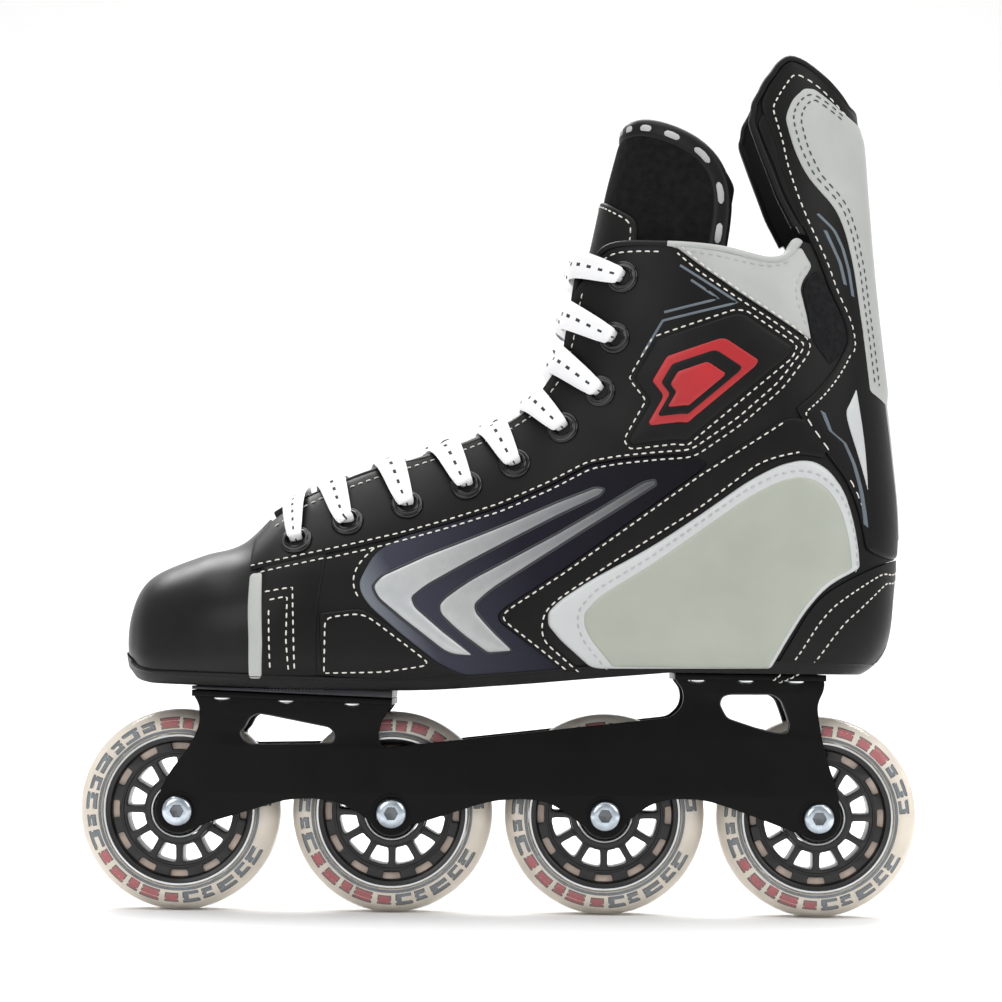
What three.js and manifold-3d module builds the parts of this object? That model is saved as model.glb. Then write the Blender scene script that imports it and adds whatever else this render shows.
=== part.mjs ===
// Inline hockey skate, left foot. Millimetres, +Z up, +X from toe to heel, -Y the outer side.
// The origin is on the floor, midway between the two middle wheels.
import * as THREE from 'three';
import { mergeVertices } from 'three/addons/utils/BufferGeometryUtils.js';
import Module from 'manifold-3d';

const wasm = await Module();
wasm.setup();

// ---------------------------------------------------------------- driving dimensions

const gap = 0.3;                 // clearance between pieces that sit against each other

const wheelDiameter = 80;
const wheelGap = 4.4;            // between neighbouring tyres
const tyreWidth = 24;
const crownWidth = 7;            // flat rolling band of the tyre
const hubRadius = 30;
const rimWidth = 21;
const webWidth = 15;
const rimDepth = 3.5;
const spokeCount = 12;
const spokeWidth = 3.2;
const windowDepth = 7.2;         // radial size of the openings between the spokes

const bearing = { outerRadius: 11, boreRadius: 4, width: 7 };
const innerRaceRadius = 6.2;
const bearingSpacing = 10;       // between the two bearings of a wheel
const axleRadius = 3.7;
const boltHeadRadius = 6.1;
const boltHeadHeight = 3;

const wheelRoom = 2;             // between a tyre's side and the frame wall
const wallThickness = 3;
const bossRadius = 8.7;
const deckThickness = 2.4;
const shimThickness = 1.5;       // at its thin front end
const frontDeckDrop = 2.6;       // fall of the front deck over its length
const rivetSetback = 5;          // wall to a row of rivets, and rivets to the deck's edge
const rivet = { headRadius: 3.6, headHeight: 1.3, shankRadius: 1.9 };

const bootLength = 304.7;
const bootHeight = 252;          // lowest point of the sole to the top of the tendon guard
const bootWidth = 106;           // at the ball of the foot
const toeOverhang = 148.2;       // wheelbase centre to the toe tip
const soleLift = 9;              // wheels' top to the lowest point of the sole
const soleThickness = 4.5;
const shellThickness = 3.4;
const linerThickness = 3;
const insoleThickness = 4;
const throatHalfWidth = 19.5;    // centre plane to the edge of a facing
const toeSwing = 5;              // the toe leans to the inner side of the foot
const badgeThickness = 1.6;

const laceRadius = 1.5;
const eyeletHoleRadius = 2.7;
const tongueThickness = 6;
const tongueTravel = 2.2;        // open seam that lets the tongue top hinge
const guardTravel = 5;           // degrees of open seam under the tendon guard

// ---------------------------------------------------------------- shared places

const axleZ = wheelDiameter / 2;
const wheelPitch = wheelDiameter + wheelGap;
const axleX = [-1.5, -0.5, 0.5, 1.5].map((n) => n * wheelPitch);
const bearingY = (bearingSpacing + bearing.width) / 2;
const bossFace = bearingY + bearing.width / 2 + gap;
const wallInside = Math.max(tyreWidth / 2 + wheelRoom, bossFace + gap);
const wallOutside = wallInside + wallThickness;
const rivetOffset = wallOutside + rivetSetback;
const deckHalfWidth = rivetOffset + rivetSetback;

// The boot is drawn on a last of this size and graded to the boot's length, width and height.
// Boot coordinates run back from the toe tip and up from the lowest point of the sole.
const last = { length: 304.7, width: 106, height: 252 };
const bootX = (x) => x * bootLength / last.length - toeOverhang;
const bootZ = (z) => wheelDiameter + soleLift + z * bootHeight / last.height;
const bootY = (y) => y * bootWidth / last.width;
const onBoot = ([x, z]) => [bootX(x), bootZ(z)];

const frontDeck = { from: bootX(27.7), to: bootX(106.2) };
const rearDeck = { from: bootX(216.9), to: bootX(276.2) };

// ---------------------------------------------------------------- solids

function toSolid(geometry) {
  const plain = geometry.clone();
  plain.deleteAttribute('normal');
  plain.deleteAttribute('uv');
  const merged = mergeVertices(plain, 1e-4);
  return new wasm.Manifold(new wasm.Mesh({
    numProp: 3,
    vertProperties: new Float32Array(merged.attributes.position.array),
    triVerts: new Uint32Array(merged.index.array),
  }));
}

function toGeometry(solid) {
  const mesh = solid.getMesh();
  const geometry = new THREE.BufferGeometry();
  geometry.setAttribute('position', new THREE.BufferAttribute(mesh.vertProperties, 3));
  geometry.setIndex(new THREE.BufferAttribute(mesh.triVerts, 1));
  return geometry;
}

const toShape = (points) => new THREE.Shape(points.map(([x, z]) => new THREE.Vector2(x, z)));

// A side-view outline in X and Z, extruded from fromY to toY.
function prismGeometry(points, fromY, toY, holes = []) {
  const shape = toShape(points);
  shape.holes = holes.map(toShape);
  const geometry = new THREE.ExtrudeGeometry(shape, { depth: toY - fromY, bevelEnabled: false });
  return geometry.rotateX(Math.PI / 2).translate(0, toY, 0);
}

const prism = (...outline) => toSolid(prismGeometry(...outline));

function rod(radius, fromY, toY, x, z, sides = 16) {
  const geometry = new THREE.CylinderGeometry(radius, radius, toY - fromY, sides);
  return toSolid(geometry.translate(x, (fromY + toY) / 2, z));
}

// A closed profile of [radius, y] points turned about the Y axis.
function turned(profile, sides) {
  const points = [...profile, profile[0]].map(([r, y]) => new THREE.Vector2(r, y));
  return new THREE.LatheGeometry(points, sides);
}

// A profile and its mirror image, for a piece that is the same on both sides of the centre plane.
const mirrored = (side) => [...side.map(([r, y]) => [r, -y]), ...[...side].reverse()];

// A closed body through rings of equally many points, with a fan over each end.
function loft(rings) {
  const sides = rings[0].length;
  const middle = (ring) => ring.reduce((sum, p) => sum.add(p), new THREE.Vector3()).divideScalar(sides);
  const points = [...rings.flat(), middle(rings[0]), middle(rings.at(-1))];
  const index = [];
  for (let side = 0; side < sides; side += 1) {
    const next = (side + 1) % sides;
    for (let ring = 0; ring < rings.length - 1; ring += 1) {
      const a = ring * sides;
      const b = a + sides;
      index.push(a + side, b + side, b + next, a + side, b + next, a + next);
    }
    const end = (rings.length - 1) * sides;
    index.push(points.length - 2, side, next, points.length - 1, end + next, end + side);
  }
  const geometry = new THREE.BufferGeometry().setFromPoints(points);
  return geometry.setIndex(index);
}

// Points of a smooth open line through the given [x, z] points.
function smooth(points, steps) {
  const curve = new THREE.SplineCurve(points.map(([x, z]) => new THREE.Vector2(x, z)));
  return curve.getPoints(steps).map((p) => [p.x, p.y]);
}

function arc(x, z, radius, fromDegrees, toDegrees, steps) {
  return Array.from({ length: steps + 1 }, (_, i) => {
    const angle = THREE.MathUtils.degToRad(THREE.MathUtils.lerp(fromDegrees, toDegrees, i / steps));
    return [x + radius * Math.cos(angle), z + radius * Math.sin(angle)];
  });
}

// A strip of the given half width along a side-view line; it cuts a seam or a slot.
function strip(points, left, right) {
  const sides = points.map(([x, z], i) => {
    const [ax, az] = points[Math.max(i - 1, 0)];
    const [bx, bz] = points[Math.min(i + 1, points.length - 1)];
    const long = Math.hypot(bx - ax, bz - az);
    const [nx, nz] = [-(bz - az) / long, (bx - ax) / long];
    return [[x + nx * left, z + nz * left], [x - nx * right, z - nz * right]];
  });
  return [...sides.map((pair) => pair[0]), ...sides.map((pair) => pair[1]).reverse()];
}

const skate = new THREE.Group();

function add(name, geometry, color, roughness, metalness = 0) {
  const material = new THREE.MeshStandardMaterial({ color, roughness, metalness });
  const mesh = new THREE.Mesh(geometry, material);
  mesh.name = name;
  skate.add(mesh);
  return mesh;
}

// ---------------------------------------------------------------- wheels

const hubBore = bearing.outerRadius + gap;
const barrelRadius = hubBore + 2.2;

// Urethane tyre, cast round the rim of the hub.
function tyreGeometry() {
  const outer = wheelDiameter / 2;
  const inner = hubRadius + gap;
  const half = tyreWidth / 2;
  const side = [
    [inner, rimWidth / 2], [inner + 2.5, half], [outer - 4, half - 0.7],
    [outer - 1.1, half - 4], [outer, crownWidth / 2],
  ];
  return turned(mirrored(side), 24);
}

// Nylon hub: bearing barrel, spoked web and rim.
function hubGeometry() {
  const barrel = bearingY + bearing.width / 2 - gap;
  const side = [
    [hubBore, barrel], [barrelRadius, barrel],
    [barrelRadius, webWidth / 2], [hubRadius - rimDepth, webWidth / 2],
    [hubRadius - rimDepth, rimWidth / 2], [hubRadius, rimWidth / 2],
  ];
  let hub = toSolid(turned(mirrored(side), 24));
  const inner = barrelRadius + 0.8;
  const outer = inner + windowDepth;
  for (let spoke = 0; spoke < spokeCount; spoke += 1) {
    const start = 360 / spokeCount * spoke;
    const edge = (radius) => THREE.MathUtils.radToDeg(spokeWidth / 2 / radius);
    const opening = [
      ...arc(0, 0, inner, start + edge(inner), start + 360 / spokeCount - edge(inner), 1),
      ...arc(0, 0, outer, start + 360 / spokeCount - edge(outer), start + edge(outer), 1),
    ];
    hub = hub.subtract(prism(opening, -tyreWidth, tyreWidth));
  }
  return toGeometry(hub);
}

const ring = (inner, outer, half, sides) => turned(
  [[inner, -half], [outer, -half], [outer, half], [inner, half]], sides);

// Through bolt with a domed head on each side of the frame.
function axleGeometry() {
  const seat = wallOutside + gap;
  const end = seat + boltHeadHeight;
  const side = [[axleRadius, seat], [boltHeadRadius, seat], [boltHeadRadius, end - 1.2], [4.4, end]];
  const half = [...side, [0, end]];
  const profile = [...half.map(([r, y]) => [r, -y]).reverse(), ...half];
  return new THREE.LatheGeometry(profile.map(([r, y]) => new THREE.Vector2(r, y)), 12);
}

const wheelShapes = {
  tyre: tyreGeometry(),
  hub: hubGeometry(),
  outerRace: ring(innerRaceRadius + 0.4, bearing.outerRadius, bearing.width / 2, 14),
  innerRace: ring(bearing.boreRadius, innerRaceRadius, bearing.width / 2, 10),
  spacer: ring(bearing.boreRadius, innerRaceRadius - 0.6, bearingSpacing / 2 - gap, 10),
  axle: axleGeometry(),
};

axleX.forEach((x, i) => {
  const number = i + 1;
  const place = (mesh, y = 0) => mesh.position.set(x, y, axleZ);
  place(add(`tyre_${number}`, wheelShapes.tyre, '#cdbfae', 0.25));
  place(add(`hub_${number}`, wheelShapes.hub, '#111214', 0.45));
  for (const [side, y] of [['outer', -bearingY], ['inner', bearingY]]) {
    place(add(`bearing_shell_${number}_${side}`, wheelShapes.outerRace, '#9a9c9e', 0.3, 0.9), y);
    place(add(`bearing_race_${number}_${side}`, wheelShapes.innerRace, '#b4b6b8', 0.25, 0.9), y);
  }
  place(add(`bearing_spacer_${number}`, wheelShapes.spacer, '#a0a2a4', 0.35, 0.8));
  place(add(`axle_bolt_${number}`, wheelShapes.axle, '#a9b1b8', 0.3, 0.9));
});

// ---------------------------------------------------------------- sole line

// Underside of the sole in boot coordinates, flat under the heel.
const heelSeat = 8;
const soleLine = smooth(
  [[3, 6.5], [9, 2.2], [28, 1], [106, -0.3], [148, 2], [187, 5.5], [215, heelSeat]], 14)
  .concat([[last.length + 20, heelSeat]]).map(onBoot);
soleLine.unshift([soleLine[0][0] - 20, soleLine[0][1] + 14]);

const raised = (line, lift) => line.map(([x, z]) => [x, z + lift]);

function soleZ(x) {
  const after = soleLine.findIndex(([px]) => px > x);
  const [[ax, az], [bx, bz]] = [soleLine[after - 1], soleLine[after]];
  return az + (bz - az) * (x - ax) / (bx - ax);
}

// ---------------------------------------------------------------- frame

const rearDeckZ = soleZ(rearDeck.to) - gap;
const frontDeckZ = soleZ(frontDeck.from) - shimThickness - 2 * gap;
const frontDeckEndZ = frontDeckZ - frontDeckDrop;

const aroundAxle = (i, points) => points.map(([dx, dz]) => [axleX[i] + dx, axleZ + dz]);
const from = (x, z, points) => points.map(([dx, dz]) => [x + dx, z + dz]);
const boss = (i, start, end, steps) => arc(axleX[i], axleZ, bossRadius, start, end, steps);

// Side wall: two legs from the decks, a beam, and arches over the gaps between the axles.
const wallOutline = [
  ...from(frontDeck.from, frontDeckZ, [[0, 0], [-0.6, -1.6], [2, -6], [2.2, -13], [0.5, -18]]),
  ...aroundAxle(0, [[4, 25], [-1.6, 17.5], [-5.8, 11.2]]),
  ...boss(0, 165, 300, 6),
  ...aroundAxle(0, [[15, -3.6], [28.7, 0.5], [42.4, 4.9], [54.2, 5.6]]),
  ...aroundAxle(1, [[-20.3, 3.8], [-13.5, 0.3]]),
  ...boss(1, 205, 325, 5),
  ...aroundAxle(1, [[21.3, -0.4], [38.9, 5.3]]),
  ...aroundAxle(2, [[-33.6, 6.3], [-23.7, 5.6], [-15.8, 1.4]]),
  ...boss(2, 215, 335, 5),
  ...aroundAxle(2, [[11.5, 0], [17.7, 4.6], [25.6, 7]]),
  ...aroundAxle(3, [[-45, 6.8], [-33.1, 3], [-21.2, -1.2]]),
  ...boss(3, 240, 375, 6),
  ...aroundAxle(3, [[7.5, 10.7], [4.2, 19.3], [1.3, 29.1]]),
  ...from(rearDeck.to, rearDeckZ, [[-1.8, -18], [-2.6, -12], [0, -6], [0.3, -3], [-0.8, 0]]),
  ...from(rearDeck.from, rearDeckZ, [[0, 0], [0.9, -3], [3.4, -6], [4, -10], [3, -13.6], [-1, -17.5]]),
  ...from(frontDeck.to, frontDeckEndZ, [[1, -19], [-2.6, -19.5], [-5, -17.5], [-5.8, -14.8]]),
  ...from(frontDeck.to, frontDeckEndZ, [[-4.7, -9.6], [-3.1, -6.5], [-0.4, -2.9], [0, 0]]),
];

const frontWindow = from(frontDeck.from, frontDeckZ, [
  [19.4, -19.3], [18.2, -16.9], [20.2, -14.9], [22.1, -10.9], [25.2, -9.3], [30, -10],
  [53.7, -14.5], [55.7, -17.6], [54.6, -20.4], [22.2, -21.2],
]);

const rearWindow = from(rearDeck.from, rearDeckZ, [
  [18.3, -11.9], [19.5, -9.1], [22.2, -8.3], [38.8, -8.1], [42, -10], [44.1, -15.1],
  [45.7, -20.2], [44.9, -23], [41.4, -23.2], [35.1, -21.9], [21.2, -17.4],
]);

// Middle of each rivet's head, in two rows under each deck.
const rivetShares = [0.15, 0.47, 0.8];
const deckRivets = (deck, topStart, topEnd) => rivetShares.flatMap((share) => {
  const x = THREE.MathUtils.lerp(deck.from, deck.to, share);
  const top = THREE.MathUtils.lerp(topStart, topEnd, share);
  return [-rivetOffset, rivetOffset].map((y) => ({ x, y, top }));
});
const frontRivets = deckRivets(frontDeck, frontDeckZ, frontDeckEndZ);
const rearRivets = deckRivets(rearDeck, rearDeckZ, rearDeckZ);

function frameGeometry() {
  const windows = [frontWindow, rearWindow];
  let frame = prism(wallOutline, -wallOutside, -wallInside, windows)
    .add(prism(wallOutline, wallInside, wallOutside, windows));
  const decks = [[frontDeck, frontDeckZ, frontDeckEndZ], [rearDeck, rearDeckZ, rearDeckZ]];
  for (const [deck, start, end] of decks) {
    const plate = [
      [deck.from, start], [deck.to, end], [deck.to, end - deckThickness], [deck.from, start - deckThickness],
    ];
    frame = frame.add(prism(plate, -deckHalfWidth, deckHalfWidth));
  }
  for (const x of axleX) {
    frame = frame.add(rod(bossRadius - 0.7, -wallInside - 1, -bossFace, x, axleZ, 10))
      .add(rod(bossRadius - 0.7, bossFace, wallInside + 1, x, axleZ, 10));
    frame = frame.subtract(rod(axleRadius + gap, -wallOutside - 1, wallOutside + 1, x, axleZ, 10));
  }
  for (const { x, y, top } of [...frontRivets, ...rearRivets]) {
    const hole = new THREE.CylinderGeometry(rivet.shankRadius + gap, rivet.shankRadius + gap, 12, 7);
    frame = frame.subtract(toSolid(hole.rotateX(Math.PI / 2).translate(x, y, top)));
  }
  return toGeometry(frame);
}

add('frame', frameGeometry(), '#0c0c0d', 0.35, 0.6);

// Wedge that levels the boot on the sloping front deck.
const shimLine = soleLine.filter(([x]) => x > frontDeck.from + 4 && x < frontDeck.to - 4);
const shimTop = [frontDeck.from, ...shimLine.map(([x]) => x), frontDeck.to]
  .map((x) => [x, soleZ(x) - gap]);
const shimOutline = [
  [frontDeck.to, frontDeckEndZ + gap], [frontDeck.from, frontDeckZ + gap], ...shimTop,
].reverse();
add('front_shim', prismGeometry(shimOutline, -deckHalfWidth, deckHalfWidth), '#1a1b20', 0.5);

// Domed rivets through the deck flanges.
const deckFall = Math.atan2(frontDeckZ - frontDeckEndZ, frontDeck.to - frontDeck.from);
function addRivets(row, places, tilt) {
  const { headRadius, headHeight, shankRadius } = rivet;
  const under = -deckThickness - gap;
  const profile = [
    [0, under - headHeight], [headRadius - 0.9, under - headHeight], [headRadius, under - 0.4],
    [headRadius, under], [shankRadius, under], [shankRadius, 0], [0, 0],
  ];
  const shape = new THREE.LatheGeometry(profile.map(([r, z]) => new THREE.Vector2(r, z)), 7);
  shape.rotateX(Math.PI / 2).rotateY(tilt);
  places.forEach(({ x, y, top }, i) => {
    add(`rivet_${row}_${i + 1}`, shape, '#c9ced2', 0.3, 0.9).position.set(x, y, top);
  });
}
addRivets('front', frontRivets, deckFall);
addRivets('rear', rearRivets, 0);

// ---------------------------------------------------------------- boot surface

// Sections of the boot, from the toe tip round the instep to the top of the cuff. Each is a plane
// curve between a point on the top or front line and one on the sole or back line, with its half
// width, the share of its height where it is widest, and how square its two halves are.
const sections = [
  { top: [0, 20], base: [0, 16], half: 5, widest: 0.5, topSquare: 2, baseSquare: 2 },
  { top: [1.4, 29], base: [1.2, 8], half: 20, widest: 0.55, topSquare: 2.3, baseSquare: 2.4 },
  { top: [5.4, 39], base: [4.4, 1.5], half: 31, widest: 0.58, topSquare: 2.4, baseSquare: 2.8 },
  { top: [13, 45.5], base: [12, -2.2], half: 40, widest: 0.62, topSquare: 2.4, baseSquare: 3.2 },
  { top: [30, 52.3], base: [30, -3], half: 47.5, widest: 0.62, topSquare: 2.3, baseSquare: 3.6 },
  { top: [46, 57.5], base: [50, -3.3], half: 52, widest: 0.64, topSquare: 2.2, baseSquare: 3.8 },
  { top: [64, 74], base: [75, -3.7], half: 53, widest: 0.66, topSquare: 2, baseSquare: 4 },
  { top: [93, 90], base: [105, -4.4], half: 49.5, widest: 0.66, topSquare: 1.9, baseSquare: 4 },
  { top: [117, 98.5], base: [135, -3.2], half: 44.5, widest: 0.64, topSquare: 1.9, baseSquare: 4.4 },
  { top: [139, 107], base: [165, -0.6], half: 41, widest: 0.6, topSquare: 2, baseSquare: 5 },
  { top: [153.5, 115.5], base: [200, 2.3], half: 39.5, widest: 0.55, topSquare: 2.1, baseSquare: 5.6 },
  { top: [161.5, 126], base: [240, 4], half: 39.5, widest: 0.5, topSquare: 2.2, baseSquare: 6 },
  { top: [166, 137], base: [277, 4.5], half: 40, widest: 0.5, topSquare: 2.2, baseSquare: 5 },
  { top: [168, 147], base: [298.5, 15], half: 40.5, widest: 0.5, topSquare: 2.3, baseSquare: 3.6 },
  { top: [169.7, 157], base: [303.8, 42], half: 41, widest: 0.5, topSquare: 2.3, baseSquare: 2.8 },
  { top: [171.5, 167], base: [304.3, 68], half: 41.5, widest: 0.5, topSquare: 2.3, baseSquare: 2.5 },
  { top: [174, 178], base: [301.6, 96], half: 41, widest: 0.5, topSquare: 2.3, baseSquare: 2.4 },
  { top: [176.5, 190], base: [298.1, 124], half: 39.5, widest: 0.5, topSquare: 2.3, baseSquare: 2.4 },
  { top: [179, 202], base: [294.8, 150], half: 37, widest: 0.5, topSquare: 2.3, baseSquare: 2.4 },
  { top: [182, 214], base: [292.1, 174], half: 35, widest: 0.5, topSquare: 2.3, baseSquare: 2.4 },
  { top: [185.5, 227], base: [289.9, 198], half: 33, widest: 0.5, topSquare: 2.3, baseSquare: 2.4 },
  { top: [190, 241], base: [287.4, 223], half: 31.5, widest: 0.5, topSquare: 2.3, baseSquare: 2.4 },
  { top: [196, 262], base: [281, 258], half: 30, widest: 0.5, topSquare: 2.3, baseSquare: 2.4 },
];

const lastStation = sections.length - 1;
const lineThrough = (pick) => new THREE.CatmullRomCurve3(
  sections.map((section) => new THREE.Vector3(...pick(section))), false, 'catmullrom', 0.5);
const topLine = lineThrough(({ top }) => [bootX(top[0]), 0, bootZ(top[1])]);
const baseLine = lineThrough(({ base }) => [bootX(base[0]), 0, bootZ(base[1])]);
const sectionForm = lineThrough(({ widest, topSquare, baseSquare }) => [widest, topSquare, baseSquare]);
const halfWidth = lineThrough(({ half }) => [bootY(half), 0, 0]);

// A point of the bare surface: `station` counts sections, `angle` runs round from the top line.
function bareSkin(station, angle) {
  const share = station / lastStation;
  const [top, base, form] = [topLine, baseLine, sectionForm].map((line) => line.getPoint(share));
  const [across, along] = [Math.sin(angle), Math.cos(angle)];
  const square = along > 0 ? form.y : form.z;
  const size = (Math.abs(across) ** square + Math.abs(along) ** square) ** (-1 / square);
  const reach = along > 0 ? form.x : 1 - form.x;
  const point = top.lerp(base, form.x - size * along * reach);
  const swing = Math.max(0, 1 - (point.x + toeOverhang) / 60) ** 2;
  point.y = halfWidth.getPoint(share).x * size * across + toeSwing * swing;
  return point;
}

// The same point moved out from the surface, or in where `out` is negative.
function skin(station, angle, out) {
  const small = 0.004;
  const [before, after] = [Math.max(station - small, 0), Math.min(station + small, lastStation)];
  const forward = bareSkin(after, angle).sub(bareSkin(before, angle));
  const round = bareSkin(station, angle + small).sub(bareSkin(station, angle - small));
  return bareSkin(station, angle).addScaledVector(forward.cross(round).normalize(), out);
}

// The facets of every boot piece: points round a section, and the sections they stand on.
const around = 22;
const stationSteps = [
  0.25, 0.8, 1.4, 2.2, 3.2, 4.4, 5.3, 5.9, 6.6, 7.4, 8.4, 9.4, 10.3, 11.2, 12, 12.8, 13.6, 14.6, 15.8,
  17.2, 18.8, 20.4, 22,
];

function skinSolid(out, steps = stationSteps, sides = around) {
  const rings = steps.map((station) => Array.from({ length: sides },
    (_, i) => skin(station, 2 * Math.PI * i / sides, out)));
  return toSolid(loft(rings));
}

// The soft pieces inside the boot are coarser, with room for it at their outer face.
const softRoom = 2.2;
const softSolid = (out) => skinSolid(out, stationSteps.filter((_, i) => i % 2 === 0), 16);

// ---------------------------------------------------------------- boot seams, in side view

const wide = bootWidth;
const far = 2 * bootLength;

const toeSeam = bootX(54);
const heelSeam = smooth([[253, 6], [260.7, 19.4], [268.3, 32.3], [276, 40.1], [291.4, 48.5], [309, 55]], 8)
  .map(onBoot);
const collarLine = smooth(
  [[160, 148], [177, 152], [183, 167], [190, 174.3], [210, 174.5], [231.7, 172.8], [250, 168.8],
    [258, 170.5], [263, 177]], 16).map(onBoot);
const guardPivot = onBoot([295.2, 169]);
const guardNotch = onBoot([263, 177]);
const guardOutline = [
  [255.5, 193.5], [246.2, 216.9], [243.8, 223.5], [245.2, 230.6], [249.5, 239], [254.8, 246.4],
  [258.7, 249.6], [264.6, 247.5], [272.5, 242], [282.4, 231.5], [310, 228],
].map(onBoot);
const tongueOutline = [
  [160, 150], [240, 150], [239.4, 185.2], [238.8, 199.2], [236.5, 206.5], [232.6, 213.1],
  [225.4, 218.6], [213.3, 224], [203.3, 226.4], [197.3, 225.2], [192.2, 215.5], [160, 214],
].map(onBoot);
const badgeOutline = [
  ...smooth([[184, 14.4], [171.5, 22], [167, 28.4], [171.3, 35.7], [205.9, 56.2], [244.3, 83.1],
    [263.5, 91], [275.2, 87.3], [283.6, 74], [287.6, 54], [287.8, 49.5]], 22),
  [276, 43], [266.5, 33], [258.8, 20], [255.8, 14.4],
].map(onBoot);

// Line through the facing seen from the side, from the front of the throat to the cuff.
const throatLine = stationSteps.filter((station) => station > 5.5)
  .map((station) => topLine.getPoint(station / lastStation))
  .map(({ x, z }) => [x, z]);

const outerBody = skinSolid(0);
const innerBody = skinSolid(-shellThickness);
const aboveSole = (lift) => prism(
  [...raised(soleLine, soleThickness + lift), [far, far], [-far, far]], -wide, wide);

const shell = outerBody.subtract(innerBody).intersect(aboveSole(gap));

// The slot between the facings, as deep as `inward` under the top line.
const throat = (half, inward) => prism(strip(throatLine, 30, inward), -half, half);

const behind = (x) => prism([[x, -far], [far, -far], [far, far], [x, far]], -wide, wide);
const heelArea = prism([...heelSeam, [far, heelSeam.at(-1)[1]], [far, -far], [heelSeam[0][0], -far]],
  -wide, wide);
const underCollar = prism(
  [...collarLine, guardPivot, [far, guardPivot[1]], [far, -far], [-far, -far], [-far, collarLine[0][1]]],
  -wide, wide);

// ---------------------------------------------------------------- eyelets

// Each pair of eyelets stands on its own section of the boot, all at one angle down its sides.
const eyeletStations = [6.1, 6.75, 7.6, 8.55, 9.45, 10.75, 12.25, 14, 15.8];
const eyeletAngle = THREE.MathUtils.degToRad(50);

function eyeletHole(station, side) {
  const inner = skin(station, side * eyeletAngle, -shellThickness - 3);
  const outer = skin(station, side * eyeletAngle, 4);
  const axis = outer.clone().sub(inner);
  const hole = new THREE.CylinderGeometry(eyeletHoleRadius, eyeletHoleRadius, axis.length(), 7);
  const turn = new THREE.Quaternion().setFromUnitVectors(new THREE.Vector3(0, 1, 0), axis.normalize());
  const centre = inner.lerp(outer, 0.5);
  return toSolid(hole.applyQuaternion(turn).translate(centre.x, centre.y, centre.z));
}

// ---------------------------------------------------------------- boot pieces

add('toe_cap', toGeometry(shell.subtract(behind(toeSeam))), '#161617', 0.45);

const quarters = shell.intersect(behind(toeSeam + gap)).intersect(underCollar)
  .subtract(heelArea)
  .subtract(prism(strip(heelSeam, gap, gap), -wide, wide))
  .subtract(throat(throatHalfWidth, 20));
for (const [name, side] of [['lateral', -1], ['medial', 1]]) {
  const [fromY, toY] = side < 0 ? [-wide, -gap / 2] : [gap / 2, wide];
  const half = prism([[-far, -far], [far, -far], [far, far], [-far, far]], fromY, toY);
  const holes = eyeletStations.map((station) => eyeletHole(station, side));
  const quarter = holes.reduce((solid, hole) => solid.subtract(hole), quarters.intersect(half));
  add(`quarter_${name}`, toGeometry(quarter), '#17181a', 0.5);

  const layer = skinSolid(gap + badgeThickness).subtract(skinSolid(gap));
  const badge = layer.intersect(prism(badgeOutline, fromY, toY));
  add(`badge_${name}`, toGeometry(badge), '#aeb3a7', 0.4);
}

add('heel_counter', toGeometry(shell.intersect(heelArea)), '#18181a', 0.5);

// The tendon guard hinges about guardPivot, so its lower seam opens like a wedge.
const guardSeam = [guardNotch, guardPivot].map(([x, z]) => {
  const open = THREE.MathUtils.degToRad(guardTravel);
  return [x, z + gap + (guardPivot[0] - x) * Math.tan(open)];
});
const guardArea = prism(
  [guardSeam[0], guardSeam[1], [far, guardSeam[1][1]], [far, guardOutline.at(-1)[1]],
    ...[...guardOutline].reverse()], -wide, wide);
add('tendon_guard', toGeometry(outerBody.subtract(innerBody).intersect(guardArea)), '#1a1a1b', 0.5);

const outsoleArea = prism([...soleLine, ...raised(soleLine, soleThickness).reverse()], -wide, wide);
add('outsole', toGeometry(skinSolid(0.6).intersect(outsoleArea)), '#141414', 0.6);

const insoleArea = prism(
  [...raised(soleLine, soleThickness + gap),
    ...raised(soleLine, soleThickness + gap + insoleThickness).reverse()], -wide, wide);
const linerInside = shellThickness + softRoom + linerThickness;
add('insole', toGeometry(softSolid(-linerInside - gap).intersect(insoleArea)), '#2a2a2c', 0.9);

// ---------------------------------------------------------------- tongue

const tongueOut = shellThickness + gap + 2 * laceRadius + 2.7;
const tongueSplit = 16.2;
const sectionPitch = 12;         // along the front of the cuff
const tongueWidths = new THREE.SplineCurve([
  [5.9, 38], [8, 40], [11, 44], [14, 48], [16.2, 52], [17.5, 74], [21, 80],
].map(([station, degrees]) => new THREE.Vector2(station, degrees)));

// A padded strip under the facings, between two stations.
function tongueStrip(stations, thickness) {
  const across = 8;
  const rings = stations.map((station) => {
    const share = (station - 5.9) / (21 - 5.9);
    const half = THREE.MathUtils.degToRad(tongueWidths.getPoint(share).y);
    const line = (out) => Array.from({ length: across + 1 },
      (_, i) => skin(station, THREE.MathUtils.lerp(-half, half, i / across), out));
    return [...line(-tongueOut), ...line(-tongueOut - thickness).reverse()];
  });
  return toSolid(loft(rings));
}

const tongueBase = tongueStrip(
  [5.9, 6.6, 7.4, 8.4, 9.4, 10.3, 11.2, 12, 12.8, 13.6, 14.6, 15.4, tongueSplit], tongueThickness);
add('tongue_base', toGeometry(tongueBase), '#151516', 0.9);

// Liner, open under the tongue.
const linerFront = bootX(74);
const liner = softSolid(-shellThickness - softRoom).subtract(softSolid(-linerInside))
  .intersect(aboveSole(gap)).intersect(underCollar).intersect(behind(linerFront))
  .subtract(throat(throatHalfWidth + 17, 46)).subtract(tongueBase);
add('liner', toGeometry(liner), '#202022', 0.95);

const tongueTop = tongueStrip(
  [tongueSplit + tongueTravel / sectionPitch, 16.9, 17.4, 18, 18.7, 19.4, 20.2, 21], tongueThickness + 1.5)
  .intersect(prism(tongueOutline, -wide, wide));
add('tongue_top', toGeometry(tongueTop), '#151516', 0.95);

// ---------------------------------------------------------------- lace

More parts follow.
